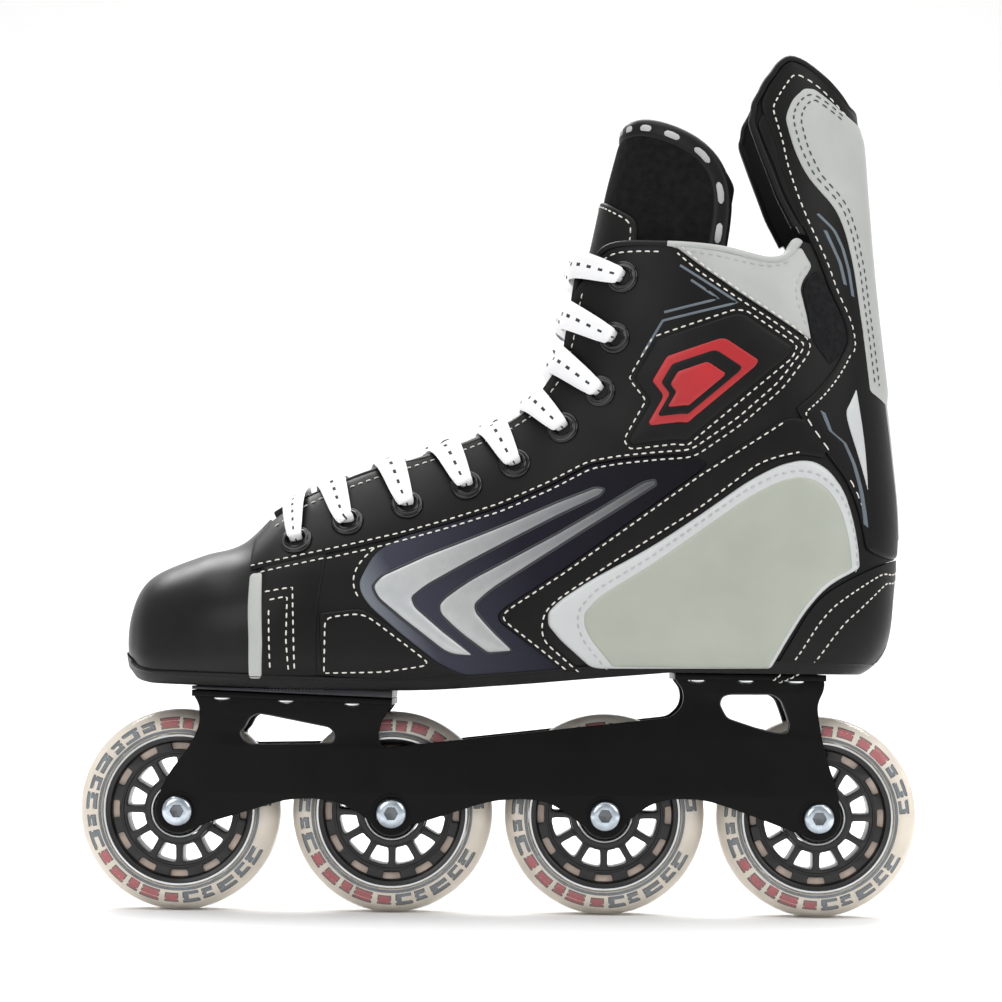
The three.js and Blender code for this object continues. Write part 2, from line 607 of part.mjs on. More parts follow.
// One lace: a bar across the first eyelets, then both ends cross over and go down through every
// eyelet, under the facing and over the next one, and end inside the boot.
function laceRoute() {
  const over = laceRadius + 1.5;
  const under = -shellThickness - laceRadius - 0.9;
  const between = (k, share) => THREE.MathUtils.lerp(eyeletStations[k - 1], eyeletStations[k], share);
  const angleAt = (station, y) => Math.asin(y / halfWidth.getPoint(station / lastStation).x);
  const edgePoint = (station, side, beyond, out) => skin(
    station, side * angleAt(station, throatHalfWidth + beyond), out);
  const strand = (start) => {
    const middle = start > 0 ? laceRadius + 2.6 : 3 * laceRadius + 3.2;
    const route = eyeletStations.flatMap((station, k) => {
      const side = k % 2 === 0 ? start : -start;
      const crossing = k === 0 ? [] : [
        edgePoint(between(k, 0.25), -side, -2.5, under - 0.5),
        skin(between(k, 0.5), 0, middle - tongueOut),
        edgePoint(between(k, 0.78), side, 0.5, over + 0.4),
      ];
      return [...crossing, skin(station, side * eyeletAngle, over), skin(station, side * eyeletAngle, under)];
    });
    const lastSide = eyeletStations.length % 2 === 1 ? start : -start;
    return [...route, skin(eyeletStations.at(-1) - 0.4, lastSide * eyeletAngle, under - 0.2)];
  };
  const first = eyeletStations[0];
  const bar = [-1, 1].map((side) => edgePoint(first, side, 0.5, over + 0.4));
  return [...strand(-1).reverse(), bar[0], skin(first, 0, -0.5), bar[1], ...strand(1)];
}

// A curve through hand-placed points whose even steps fall on the points themselves.
class PointRoute extends THREE.Curve {
  constructor(points) {
    super();
    this.points = points;
  }

  getPoint(share) {
    const place = share * (this.points.length - 1);
    const start = Math.min(Math.floor(place), this.points.length - 2);
    return this.points[start].clone().lerp(this.points[start + 1], place - start);
  }

  getPointAt(share) {
    return this.getPoint(share);
  }

  getTangentAt(share) {
    const step = 0.4 / (this.points.length - 1);
    const ahead = this.getPoint(Math.min(share + step, 1));
    return ahead.sub(this.getPoint(Math.max(share - step, 0))).normalize();
  }
}

const lacePoints = laceRoute();
const laceSection = new THREE.Shape().absarc(0, 0, laceRadius, 0, 2 * Math.PI);
add('lace', new THREE.ExtrudeGeometry(laceSection, {
  extrudePath: new PointRoute(lacePoints), steps: lacePoints.length - 1, curveSegments: 4,
}), '#eceef0', 0.85);

export default skate;
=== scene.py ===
"""Left inline hockey skate: the looks of every piece, in metres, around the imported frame."""

import math

import bmesh
import bpy
import numpy as np
from mathutils import Matrix, Quaternion, Vector
from mathutils.bvhtree import BVHTree
from mathutils.geometry import delaunay_2d_cdt


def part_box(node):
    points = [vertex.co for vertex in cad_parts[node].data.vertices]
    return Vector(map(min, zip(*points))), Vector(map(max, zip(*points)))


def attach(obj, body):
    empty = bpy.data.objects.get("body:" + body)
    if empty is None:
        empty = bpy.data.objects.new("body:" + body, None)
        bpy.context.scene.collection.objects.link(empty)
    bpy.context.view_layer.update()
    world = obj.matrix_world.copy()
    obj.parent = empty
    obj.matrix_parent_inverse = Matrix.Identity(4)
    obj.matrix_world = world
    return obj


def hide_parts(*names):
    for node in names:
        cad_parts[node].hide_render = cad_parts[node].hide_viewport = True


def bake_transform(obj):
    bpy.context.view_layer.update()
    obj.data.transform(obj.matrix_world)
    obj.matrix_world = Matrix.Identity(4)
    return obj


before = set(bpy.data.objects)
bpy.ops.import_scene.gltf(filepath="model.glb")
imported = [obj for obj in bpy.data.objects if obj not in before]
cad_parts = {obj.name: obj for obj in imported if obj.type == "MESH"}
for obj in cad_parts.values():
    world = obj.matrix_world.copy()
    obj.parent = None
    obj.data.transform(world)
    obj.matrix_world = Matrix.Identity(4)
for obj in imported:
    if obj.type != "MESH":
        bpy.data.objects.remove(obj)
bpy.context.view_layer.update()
bpy.ops.object.select_all(action="DESELECT")
mm = 0.001

# ---------------------------------------------------------------- floor, light and camera
# A white sweep of paper that runs back and up, lit by large soft lamps overhead and at both
# sides. The camera stands level with the wheels' tops and looks straight at the outer side.

floor_centre = 2
bpy.ops.mesh.primitive_grid_add(x_subdivisions=4, y_subdivisions=60, size=12,
                                location=(0, floor_centre, 0))
floor = bpy.context.active_object
floor.name = "floor"
bend_start, bend_radius = 3.0, 1.6
for vertex in floor.data.vertices:
    past_bend = vertex.co.y + floor_centre - bend_start
    if past_bend > 0:
        turn = min(past_bend / bend_radius, math.pi / 2)
        rest = max(0, past_bend - bend_radius * math.pi / 2)
        vertex.co.y = bend_start - floor_centre + bend_radius * math.sin(turn)
        vertex.co.z = bend_radius * (1 - math.cos(turn)) + rest
bpy.ops.object.shade_smooth()
paper = bpy.data.materials.new("white_paper")
paper.use_nodes = True
paper_shader = paper.node_tree.nodes["Principled BSDF"]
paper_shader.inputs["Base Color"].default_value = (0.93, 0.93, 0.93, 1)
paper_shader.inputs["Roughness"].default_value = 0.9
floor.data.materials.append(paper)

world = bpy.data.worlds.new("studio")
world.use_nodes = True
world.node_tree.nodes["Background"].inputs["Color"].default_value = (1, 1, 1, 1)
world.node_tree.nodes["Background"].inputs["Strength"].default_value = 0.6
bpy.context.scene.world = world
bpy.context.scene.view_settings.view_transform = "Standard"


def lamp(name, place, aim, width, height, power):
    data = bpy.data.lights.new(name, "AREA")
    data.shape, data.size, data.size_y, data.energy = "RECTANGLE", width, height, power
    obj = bpy.data.objects.new(name, data)
    obj.location = place
    obj.rotation_mode = "QUATERNION"
    obj.rotation_quaternion = (Vector(aim) - Vector(place)).to_track_quat("-Z", "Y")
    bpy.context.scene.collection.objects.link(obj)


lamp("top_light", (0.0, -0.1, 1.5), (0, 0, 0.1), 1.6, 1.2, 16)
lamp("front_light", (-0.9, -1.5, 0.9), (0, 0, 0.15), 1.0, 1.0, 7)
lamp("rear_light", (1.2, -0.9, 1.0), (0.05, 0, 0.2), 0.9, 0.9, 7)
lamp("paper_light", (0.0, 1.7, 1.6), (0, 1.9, 0.2), 2.6, 1.6, 80)

camera_data = bpy.data.cameras.new("camera")
camera_data.sensor_width = 36
camera_data.lens = 116.8
camera_data.shift_x = -0.027
camera_data.shift_y = 0.149
camera_data.clip_start, camera_data.clip_end = 0.05, 30
camera = bpy.data.objects.new("camera", camera_data)
camera.location = (0.011, -1.3, 0.105)
camera.rotation_mode = "QUATERNION"
camera.rotation_quaternion = Quaternion((1, 0, 0), math.pi / 2) @ Quaternion((0, 0, 1), 0.0126)
bpy.context.scene.collection.objects.link(camera)
bpy.context.scene.camera = camera

# ---------------------------------------------------------------- wheels
# Each wheel is a black nylon hub with clear urethane cast round it. The print that shows through
# the urethane is a sleeve with plain blocks. Two sealed bearings and a spacer sit in the hub.


def new_piece(name, vertices, faces, material=None, smooth=40):
    mesh = bpy.data.meshes.new(name)
    mesh.from_pydata([tuple(v) for v in vertices], [], [tuple(f) for f in faces])
    obj = bpy.data.objects.new(name, mesh)
    bpy.context.scene.collection.objects.link(obj)
    if material is not None:
        mesh.materials.append(material)
    finish_mesh(obj, smooth)
    return obj


def finish_mesh(obj, smooth=40):
    """Merges doubles, turns faces outwards and shades smooth up to an angle."""
    form = bmesh.new()
    form.from_mesh(obj.data)
    bmesh.ops.remove_doubles(form, verts=form.verts, dist=1e-6)
    bmesh.ops.dissolve_degenerate(form, edges=form.edges, dist=1e-7)
    bmesh.ops.recalc_face_normals(form, faces=form.faces)
    form.to_mesh(obj.data)
    form.free()
    bpy.ops.object.select_all(action="DESELECT")
    obj.select_set(True)
    bpy.context.view_layer.objects.active = obj
    bpy.ops.object.shade_smooth_by_angle(angle=math.radians(smooth))
    obj.select_set(False)


def joined(name, objects):
    bpy.ops.object.select_all(action="DESELECT")
    for obj in objects:
        obj.select_set(True)
    bpy.context.view_layer.objects.active = objects[0]
    if len(objects) > 1:
        bpy.ops.object.join()
    piece = bpy.context.view_layer.objects.active
    piece.name = name
    piece.data.name = name
    piece.select_set(False)
    return piece


def finish(name, colour, roughness, grain=0.0004, bump=0.1, depth=0.0001, mottle=0.12,
           mottle_size=0.02, metallic=0.0, coat=0.0, specular=0.5, wear=0.08, weave=None):
    """A material with fine grain or weave in its bump, drifting colour and uneven gloss."""
    material = bpy.data.materials.new(name)
    material.use_nodes = True
    tree = material.node_tree
    shader = tree.nodes["Principled BSDF"]
    shader.inputs["Metallic"].default_value = metallic
    shader.inputs["Coat Weight"].default_value = coat
    shader.inputs["Coat Roughness"].default_value = 0.12
    shader.inputs["Specular IOR Level"].default_value = specular
    place = tree.nodes.new("ShaderNodeTexCoord").outputs["Object"]

    def noise(size, detail):
        node = tree.nodes.new("ShaderNodeTexNoise")
        node.inputs["Scale"].default_value = 1 / size
        node.inputs["Detail"].default_value = detail
        tree.links.new(place, node.inputs["Vector"])
        return node.outputs["Fac"]

    cloud = noise(mottle_size, 4)
    ramp = tree.nodes.new("ShaderNodeValToRGB")
    ramp.color_ramp.elements[0].position = 0.3
    ramp.color_ramp.elements[1].position = 0.7
    ramp.color_ramp.elements[0].color = (*[c * (1 - mottle) for c in colour], 1)
    ramp.color_ramp.elements[1].color = (*[min(1, c * (1 + mottle)) for c in colour], 1)
    tree.links.new(cloud, ramp.inputs["Fac"])
    tree.links.new(ramp.outputs["Color"], shader.inputs["Base Color"])
    gloss = tree.nodes.new("ShaderNodeMapRange")
    gloss.inputs["To Min"].default_value = max(0.03, roughness - wear)
    gloss.inputs["To Max"].default_value = min(1, roughness + wear)
    tree.links.new(noise(mottle_size / 3, 6), gloss.inputs["Value"])
    tree.links.new(gloss.outputs["Result"], shader.inputs["Roughness"])
    relief = tree.nodes.new("ShaderNodeBump")
    relief.inputs["Strength"].default_value = bump
    relief.inputs["Distance"].default_value = depth
    if weave == "leather":
        cells = tree.nodes.new("ShaderNodeTexVoronoi")
        cells.feature = "DISTANCE_TO_EDGE"
        cells.inputs["Scale"].default_value = 1 / grain
        tree.links.new(place, cells.inputs["Vector"])
        tree.links.new(cells.outputs["Distance"], relief.inputs["Height"])
    elif weave == "twill":
        crossed = tree.nodes.new("ShaderNodeMath")
        crossed.operation = "MULTIPLY"
        for i, turn in enumerate((0.6, -0.9)):
            mapping = tree.nodes.new("ShaderNodeMapping")
            mapping.inputs["Rotation"].default_value = (0, turn, 0)
            tree.links.new(place, mapping.inputs["Vector"])
            wave = tree.nodes.new("ShaderNodeTexWave")
            wave.inputs["Scale"].default_value = 0.32 / grain
            wave.inputs["Distortion"].default_value = 0.6
            tree.links.new(mapping.outputs["Vector"], wave.inputs["Vector"])
            tree.links.new(wave.outputs["Fac"], crossed.inputs[i])
        tree.links.new(crossed.outputs["Value"], relief.inputs["Height"])
    else:
        tree.links.new(noise(grain, 8), relief.inputs["Height"])
    tree.links.new(relief.outputs["Normal"], shader.inputs["Normal"])
    return material


def lathe(name, profile, material, sides=64, smooth=35):
    """A profile of (radius, y) in millimetres turned about the Y axis through the origin."""
    count = len(profile)
    vertices, faces = [], []
    for i in range(sides):
        a = 2 * math.pi * i / sides
        vertices += [(r * mm * math.cos(a), y * mm, r * mm * math.sin(a)) for r, y in profile]
    for i in range(sides):
        for j in range(count):
            a, b = i * count + j, i * count + (j + 1) % count
            c, d = ((i + 1) % sides) * count + (j + 1) % count, ((i + 1) % sides) * count + j
            faces.append((a, b, c, d))
    return new_piece(name, vertices, faces, material, smooth)


def plate(name, outline, holes, low, high, material, bevel=0.4, smooth=35):
    """A plate with rounded edges from a side-view outline, between two Y planes, in mm."""
    curve = bpy.data.curves.new(name, "CURVE")
    curve.dimensions = "2D"
    curve.fill_mode = "BOTH"
    curve.extrude = (high - low) / 2 * mm - bevel * mm
    curve.bevel_depth = bevel * mm
    curve.bevel_resolution = 2
    curve.offset = -bevel * mm
    for loop in [outline, *holes]:
        spline = curve.splines.new("POLY")
        spline.points.add(len(loop) - 1)
        for point, (x, z) in zip(spline.points, loop):
            point.co = (x * mm, z * mm, 0, 1)
        spline.use_cyclic_u = True
    obj = bpy.data.objects.new(name, curve)
    bpy.context.scene.collection.objects.link(obj)
    bpy.ops.object.select_all(action="DESELECT")
    obj.select_set(True)
    bpy.context.view_layer.objects.active = obj
    bpy.ops.object.convert(target="MESH")
    obj = bpy.context.view_layer.objects.active
    lift = Matrix.Translation((0, (low + high) / 2 * mm, 0))
    obj.data.transform(lift @ Matrix.Rotation(math.pi / 2, 4, "X"))
    obj.data.materials.clear()
    obj.data.materials.append(material)
    finish_mesh(obj, smooth)
    return obj


def ring_points(radius, start=0.0, end=360.0, steps=48):
    return [(radius * math.cos(math.radians(start + (end - start) * i / steps)),
             radius * math.sin(math.radians(start + (end - start) * i / steps)))
            for i in range(steps + (0 if end - start >= 360 else 1))]


def window(inner, outer, middle, half_inner, half_outer, corner=0.22):
    """A rounded opening between two radii, half_* being its half width in mm there."""
    a, b = math.degrees(half_inner / inner), math.degrees(half_outer / outer)
    loop = (ring_points(inner, middle - a, middle + a, 6)
            + ring_points(outer, middle + b, middle - b, 6))
    soft = []
    for i, p in enumerate(loop):
        before, after = loop[i - 1], loop[(i + 1) % len(loop)]
        turn = abs(math.remainder(math.atan2(after[1] - p[1], after[0] - p[0])
                                  - math.atan2(p[1] - before[1], p[0] - before[0]), 2 * math.pi))
        if turn < 0.6:
            soft.append(p)
            continue
        cut = corner * (outer - inner)
        ends = []
        for q in (before, after):
            long = math.dist(p, q)
            ends.append(tuple(p[k] + (q[k] - p[k]) / long * min(cut, 0.9 * long) for k in (0, 1)))
        crown_point = tuple(0.6 * p[k] + 0.2 * (ends[0][k] + ends[1][k]) for k in (0, 1))
        soft += [ends[0], crown_point, ends[1]]
    return soft


nylon = finish("black_nylon", (0.008, 0.0078, 0.008), 0.34, grain=0.0009, bump=0.12, mottle=0.3)
core_nylon = finish("cast_core", (0.62, 0.50, 0.42), 0.35, grain=0.0012, bump=0.1, mottle=0.18,
                    mottle_size=0.006)
printed_sleeve = finish("printed_sleeve", (0.84, 0.77, 0.68), 0.4, grain=0.001, bump=0.05,
                        mottle=0.1, mottle_size=0.01)
slate_ink = finish("slate_ink", (0.085, 0.115, 0.15), 0.4, bump=0.05, mottle=0.25,
                   mottle_size=0.004)
red_ink = finish("red_ink", (0.42, 0.03, 0.05), 0.4, bump=0.05, mottle=0.2, mottle_size=0.004)
dark_ink = finish("dark_ink", (0.03, 0.03, 0.035), 0.4, bump=0.05, mottle=0.2)
ground_steel = finish("ground_steel", (0.62, 0.63, 0.64), 0.24, grain=0.0006, bump=0.06, metallic=1)
seal_rubber = finish("bearing_seal", (0.02, 0.02, 0.022), 0.5, grain=0.0005, bump=0.1)

urethane = bpy.data.materials.new("clear_urethane")
urethane.use_nodes = True
urethane_tree = urethane.node_tree
urethane_shader = urethane_tree.nodes["Principled BSDF"]
urethane_shader.inputs["Roughness"].default_value = 0.07
urethane_shader.inputs["IOR"].default_value = 1.22
urethane_shader.inputs["Transmission Weight"].default_value = 0.9
urethane_haze = urethane_tree.nodes.new("ShaderNodeTexNoise")
urethane_haze.inputs["Scale"].default_value = 90
urethane_place = urethane_tree.nodes.new("ShaderNodeTexCoord")
urethane_tint = urethane_tree.nodes.new("ShaderNodeValToRGB")
urethane_tint.color_ramp.elements[0].color = (0.97, 0.95, 0.90, 1)
urethane_tint.color_ramp.elements[1].color = (1.0, 0.99, 0.97, 1)
urethane_tree.links.new(urethane_place.outputs["Object"], urethane_haze.inputs["Vector"])
urethane_tree.links.new(urethane_haze.outputs["Fac"], urethane_tint.inputs["Fac"])
urethane_tree.links.new(urethane_tint.outputs["Color"], urethane_shader.inputs["Base Color"])
urethane_scuff = urethane_tree.nodes.new("ShaderNodeBump")
urethane_scuff.inputs["Strength"].default_value = 0.04
urethane_scuff.inputs["Distance"].default_value = 0.0001
urethane_tree.links.new(urethane_haze.outputs["Fac"], urethane_scuff.inputs["Height"])
urethane_tree.links.new(urethane_scuff.outputs["Normal"], urethane_shader.inputs["Normal"])


def both_sides(side):
    return [(r, -y) for r, y in side] + [(r, y) for r, y in reversed(side)]


tyre_side = [(30.3, 10.4), (30.8, 11.2), (32.0, 11.8), (33.4, 12.0), (35.0, 11.8), (36.6, 11.0),
             (37.9, 9.8), (38.9, 8.2), (39.5, 6.3), (39.85, 4.3), (40.0, 2.2)]
sleeve_side = [(30.4, 9.6), (30.9, 10.6), (32.2, 11.15), (33.8, 11.15), (35.4, 10.6), (36.8, 9.2),
               (37.6, 7.2), (37.9, 4.6), (37.9, 1.5)]
sleeve_line = np.array(sleeve_side)

# Print blocks: start and width in degrees, inner and outer radius, ink (0 slate, 1 red).
print_blocks = []
block_start = 4.0
for n in range(26):
    width = (7.5, 9.5, 6.0, 11.0)[n % 4]
    red = n % 13 in (3, 4, 5, 6, 7)
    print_blocks.append((block_start, width, 32.4 + 0.5 * (n % 3), 36.0 + 0.35 * (n % 2), int(red)))
    block_start += width + (3.6, 5.2, 4.4)[n % 3]


def sleeve_y(radius):
    return float(np.interp(radius, sleeve_line[:, 0], sleeve_line[:, 1]))


def print_patch(a0, a1, r0, r1, side, proud):
    """Grid of points over part of the sleeve's side, angles in degrees."""
    rows, columns = 5, max(3, int((a1 - a0) / 1.5))
    points = []
    for i in range(rows + 1):
        radius = r0 + (r1 - r0) * i / rows
        for j in range(columns + 1):
            angle = math.radians(a0 + (a1 - a0) * j / columns)
            points.append((radius * mm * math.cos(angle), side * (sleeve_y(radius) + proud) * mm,
                           radius * mm * math.sin(angle)))
    quads = [(i * (columns + 1) + j, i * (columns + 1) + j + 1, (i + 1) * (columns + 1) + j + 1,
              (i + 1) * (columns + 1) + j) for i in range(rows) for j in range(columns)]
    return points, quads


def wheel_print():
    vertices, faces, inks = [], [], []

    def lay(a0, a1, r0, r1, side, proud, ink):
        points, quads = print_patch(a0, a1, r0, r1, side, proud)
        base = len(vertices)
        vertices.extend(points)
        faces.extend([tuple(base + i for i in quad) for quad in quads])
        inks.extend([ink] * len(quads))

    for side in (-1, 1):
        lay(0, 360, 30.9, 32.0, side, 0.06, 0)
        for start, width, inner, outer, ink in print_blocks:
            lay(start - 0.8, start + width + 0.8, inner - 0.45, outer + 0.45, side, 0.04, 2)
            lay(start, start + width, inner, outer, side, 0.08, ink)
            if ink == 0:
                lay(start + 0.35 * width, start + width + 0.9, inner + 1.3, outer - 1.0, side, 0.12,
                    3)
    return vertices, faces, inks


bearing_middle = 8.5
hub_side = [(11.3, 11.7), (12.9, 11.7), (13.5, 11.2), (13.7, 8.0)]
rim_side = [(26.6, 8.2), (27.4, 9.8), (28.6, 10.4), (29.9, 10.4), (30.15, 10.0)]
hub_windows = [window(14.2, 21.0, 30 * n + 15, 2.3, 4.15) for n in range(12)]
hub_slots = [window(24.0, 27.0, 30 * n, 3.3, 3.7, 0.3) for n in range(12)]


def make_wheel(number, centre):
    body = f"wheel_{number}"

    def put(piece, *nodes, slot=None):
        piece.data.transform(Matrix.Translation(centre))
        if nodes:
            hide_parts(*nodes)
        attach(piece, body)

    tyre = lathe(f"urethane_{number}", both_sides(tyre_side), urethane, 96)
    put(tyre, f"tyre_{number}", slot="tyre")
    put(lathe(f"sleeve_{number}", both_sides(sleeve_side), printed_sleeve, 96))
    vertices, faces, inks = wheel_print()
    ink = new_piece(f"print_{number}", vertices, faces, slate_ink)
    for material in (red_ink, dark_ink, printed_sleeve):
        ink.data.materials.append(material)
    for face, shade in zip(ink.data.polygons, inks):
        face.material_index = shade
    put(ink)

    web = plate("web", ring_points(28.7, steps=96), [ring_points(12.6), *hub_windows, *hub_slots],
                -7.5, 7.5, nylon, 0.55)
    barrel = lathe("barrel", both_sides(hub_side), nylon, 64)
    rim = lathe("rim", both_sides(rim_side), nylon, 96)
    step = lathe("step", both_sides([(22.0, 7.3), (22.4, 8.0), (23.0, 8.0), (23.3, 7.3)]), nylon,
                 96)
    put(joined(f"nylon_hub_{number}", [web, barrel, rim, step]), f"hub_{number}", slot="hub")
    put(lathe(f"cast_core_{number}", both_sides([(23.7, 5.6), (27.3, 5.6)]), core_nylon, 72))
    rim_line = [(28.9, 10.35), (29.2, 10.75), (29.9, 10.75), (30.2, 10.35)]
    put(lathe(f"rim_line_{number}", both_sides(rim_line), ground_steel, 96))
    for side, word in ((-1, "outer"), (1, "inner")):
        middle = side * bearing_middle
        shell = lathe("shell", [(10.3, middle - 3.5), (10.7, middle - 3.5), (11.0, middle - 3.2),
                                (11.0, middle + 3.2), (10.7, middle + 3.5), (10.3, middle + 3.5),
                                (9.4, middle + 2.9), (9.4, middle - 2.9)], ground_steel, 48)
        seal = lathe("seal", [(6.7, middle - 3.1), (9.4, middle - 3.1), (9.4, middle + 3.1),
                              (6.7, middle + 3.1)], seal_rubber, 48)
        put(joined(f"bearing_{number}_{word}", [shell, seal]), f"bearing_shell_{number}_{word}",
            slot="bearing_steel")
        race = lathe(f"race_{number}_{word}", [(4.0, middle - 3.5), (5.8, middle - 3.5),
                                               (6.2, middle - 3.1), (6.2, middle + 3.1),
                                               (5.8, middle + 3.5), (4.0, middle + 3.5)],
                     ground_steel, 40)
        race.data.transform(Matrix.Translation(centre))
        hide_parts(f"bearing_race_{number}_{word}")
        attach(race, "boot")
    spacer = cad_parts[f"bearing_spacer_{number}"]
    spacer.data.materials.clear()
    spacer.data.materials.append(ground_steel)


wheel_centres = []
for number in (1, 2, 3, 4):
    low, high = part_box(f"tyre_{number}")
    wheel_centres.append((low + high) / 2)
    make_wheel(number, wheel_centres[-1])

# ---------------------------------------------------------------- axle bolts
# Zinc plated through bolts with low domed heads and hexagon sockets, one through each wheel. Each
# is a turned shank with a head on both ends, seated on the raised bosses of the frame.

zinc = finish("zinc_plate", (0.50, 0.56, 0.62), 0.22, grain=0.0008, bump=0.1, metallic=1,
              mottle=0.2, mottle_size=0.003)
# Painted shade: the walls and floor of the hexagon socket get a darker steel colour to stand in for
# the shade inside the recess.
socket_painted_shade = finish("painted_socket_shade", (0.16, 0.17, 0.18), 0.35, grain=0.0008, bump=0.1,
                      metallic=1)
bolt_seat, socket_radius = 17.3, 2.5


def bolt_head(side, seat):
    """Head from its seat outwards: rings of (radius, height, hexagon share)."""
    rings = [(3.7, 0, 0), (5.8, 0, 0), (6.1, 0.3, 0), (6.1, 1.3, 0), (5.8, 2.0, 0), (5.1, 2.6, 0),
             (4.2, 2.95, 0), (3.5, 3.0, 0), (2.55, 3.0, 1), (2.35, 2.8, 1), (2.3, 1.0, 1),
             (0.01, 0.6, 1)]
    sides = 48
    vertices, faces = [], []
    for radius, height, hexed in rings:
        for i in range(sides):
            a = 2 * math.pi * i / sides
            flat = math.cos(math.pi / 6) / math.cos((a % (math.pi / 3)) - math.pi / 6)
            reach = radius * (1 + hexed * (flat * 1.12 - 1))
            vertices.append((reach * mm * math.cos(a), side * (seat + height) * mm,
                             reach * mm * math.sin(a)))
    for j in range(len(rings) - 1):
        for i in range(sides):
            n = (i + 1) % sides
            faces.append((j * sides + i, j * sides + n, (j + 1) * sides + n, (j + 1) * sides + i))
    return vertices, faces


def make_bolt(number, centre):
    parts = []
    for side in (-1, 1):
        vertices, faces = bolt_head(side, bolt_seat)
        head = new_piece("head", vertices, faces, zinc, 30)
        head.data.materials.append(socket_painted_shade)
        # Faces within the socket radius take the painted shade of the recess.
        for face in head.data.polygons:
            middle = face.center
            if math.hypot(middle.x, middle.z) < socket_radius * mm:
                face.material_index = 1
        parts.append(head)
    shank = lathe("shank", [(3.7, -17.4), (3.7, 17.4), (0.02, 17.4), (0.02, -17.4)], zinc, 32)
    bolt = joined(f"bolt_{number}", [*parts, shank])
    bolt.data.transform(Matrix.Translation(centre))
    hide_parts(f"axle_bolt_{number}")
    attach(bolt, "boot")


for number in (1, 2, 3, 4):
    make_bolt(number, wheel_centres[number - 1])

# ---------------------------------------------------------------- frame
# Two black anodised alloy walls with arches over the wheels, joined by a riveted deck under the
# ball and one under the heel. The milled edges of the windows show bare metal.

anodised = finish("black_anodised", (0.003, 0.0028, 0.0028), 0.36, grain=0.0005, bump=0.06,
                  mottle=0.3, specular=0.12, wear=0.05)
bare_edge = finish("milled_edge", (0.10, 0.10, 0.105), 0.3, grain=0.0005, bump=0.05, metallic=1)
axle_x = [-126.6, -42.2, 42.2, 126.6]
axle_z = 40
front_deck_x, rear_deck_x = (-120.5, -42.0), (68.7, 128.0)
front_deck_z, front_end_z, rear_deck_z = 87.91, 85.31, 96.7
wall_inside, wall_outside = 14, 17
deck_half_width, deck_thickness = 27, 2.4
boss_radius = 8.7


def near_axle(i, points):
    return [(axle_x[i] + dx, axle_z + dz) for dx, dz in points]


def from_corner(x, z, points):
    return [(x + dx, z + dz) for dx, dz in points]


def axle_boss(i, start, end):
    turns = [math.radians(a) for a in np.linspace(start, end, 14)]
    return near_axle(i, [(boss_radius * math.cos(a), boss_radius * math.sin(a)) for a in turns])


def eased(loop, sharp_cut=1.4, sharp_turn=38):
    """The loop with every corner rounded, sharp corners by no more than sharp_cut."""
    out = []
    for i, p in enumerate(loop):
        p, a, b = (np.array(q) for q in (p, loop[i - 1], loop[(i + 1) % len(loop)]))
        la, lb = np.linalg.norm(p - a), np.linalg.norm(b - p)
        turn = abs(math.degrees(math.remainder(
            math.atan2(*(b - p)[::-1]) - math.atan2(*(p - a)[::-1]), 2 * math.pi)))
        if turn < 4:
            out.append(tuple(p))
            continue
        cut = 0.45 * min(la, lb) if turn < sharp_turn else min(sharp_cut, 0.45 * min(la, lb))
        start, end = p + (a - p) / la * cut, p + (b - p) / lb * cut
        for t in (0, 0.25, 0.5, 0.75, 1):
            out.append(tuple((1 - t) ** 2 * start + 2 * t * (1 - t) * p + t * t * end))
    return out


wall_outline = [
    *from_corner(front_deck_x[0], front_deck_z,
                 [(0, 0), (-0.6, -1.6), (2, -6), (2.2, -13), (0.5, -18)]),
    *near_axle(0, [(4, 25), (-1.6, 17.5), (-5.8, 11.2)]), *axle_boss(0, 165, 300),
    *near_axle(0, [(15, -3.6), (28.7, 0.5), (42.4, 4.9), (54.2, 5.6)]),
    *near_axle(1, [(-20.3, 3.8), (-13.5, 0.3)]), *axle_boss(1, 205, 325),
    *near_axle(1, [(21.3, -0.4), (38.9, 5.3)]),
    *near_axle(2, [(-33.6, 6.3), (-23.7, 5.6), (-15.8, 1.4)]), *axle_boss(2, 215, 335),
    *near_axle(2, [(11.5, 0), (17.7, 4.6), (25.6, 7)]),
    *near_axle(3, [(-45, 6.8), (-33.1, 3), (-21.2, -1.2)]), *axle_boss(3, 240, 375),
    *near_axle(3, [(7.5, 10.7), (4.2, 19.3), (1.3, 29.1)]),
    *from_corner(rear_deck_x[1], rear_deck_z,
                 [(-1.8, -18), (-2.6, -12), (0, -6), (0.3, -3), (-0.8, 0)]),
    *from_corner(rear_deck_x[0], rear_deck_z,
                 [(0, 0), (0.9, -3), (3.4, -6), (4, -10), (3, -13.6), (-1, -17.5)]),
    *from_corner(front_deck_x[1], front_end_z,
                 [(1, -19), (-2.6, -19.5), (-5, -17.5), (-5.8, -14.8), (-4.7, -9.6), (-3.1, -6.5),
                  (-0.4, -2.9), (0, 0)]),
]
front_window = from_corner(front_deck_x[0], front_deck_z, [
    (19.4, -19.3), (18.2, -16.9), (20.2, -14.9), (22.1, -10.9), (25.2, -9.3), (30, -10),
    (53.7, -14.5), (55.7, -17.6), (54.6, -20.4), (22.2, -21.2)])
rear_window = from_corner(rear_deck_x[0], rear_deck_z, [
    (18.3, -11.9), (19.5, -9.1), (22.2, -8.3), (38.8, -8.1), (42, -10), (44.1, -15.1),
    (45.7, -20.2), (44.9, -23), (41.4, -23.2), (35.1, -21.9), (21.2, -17.4)])

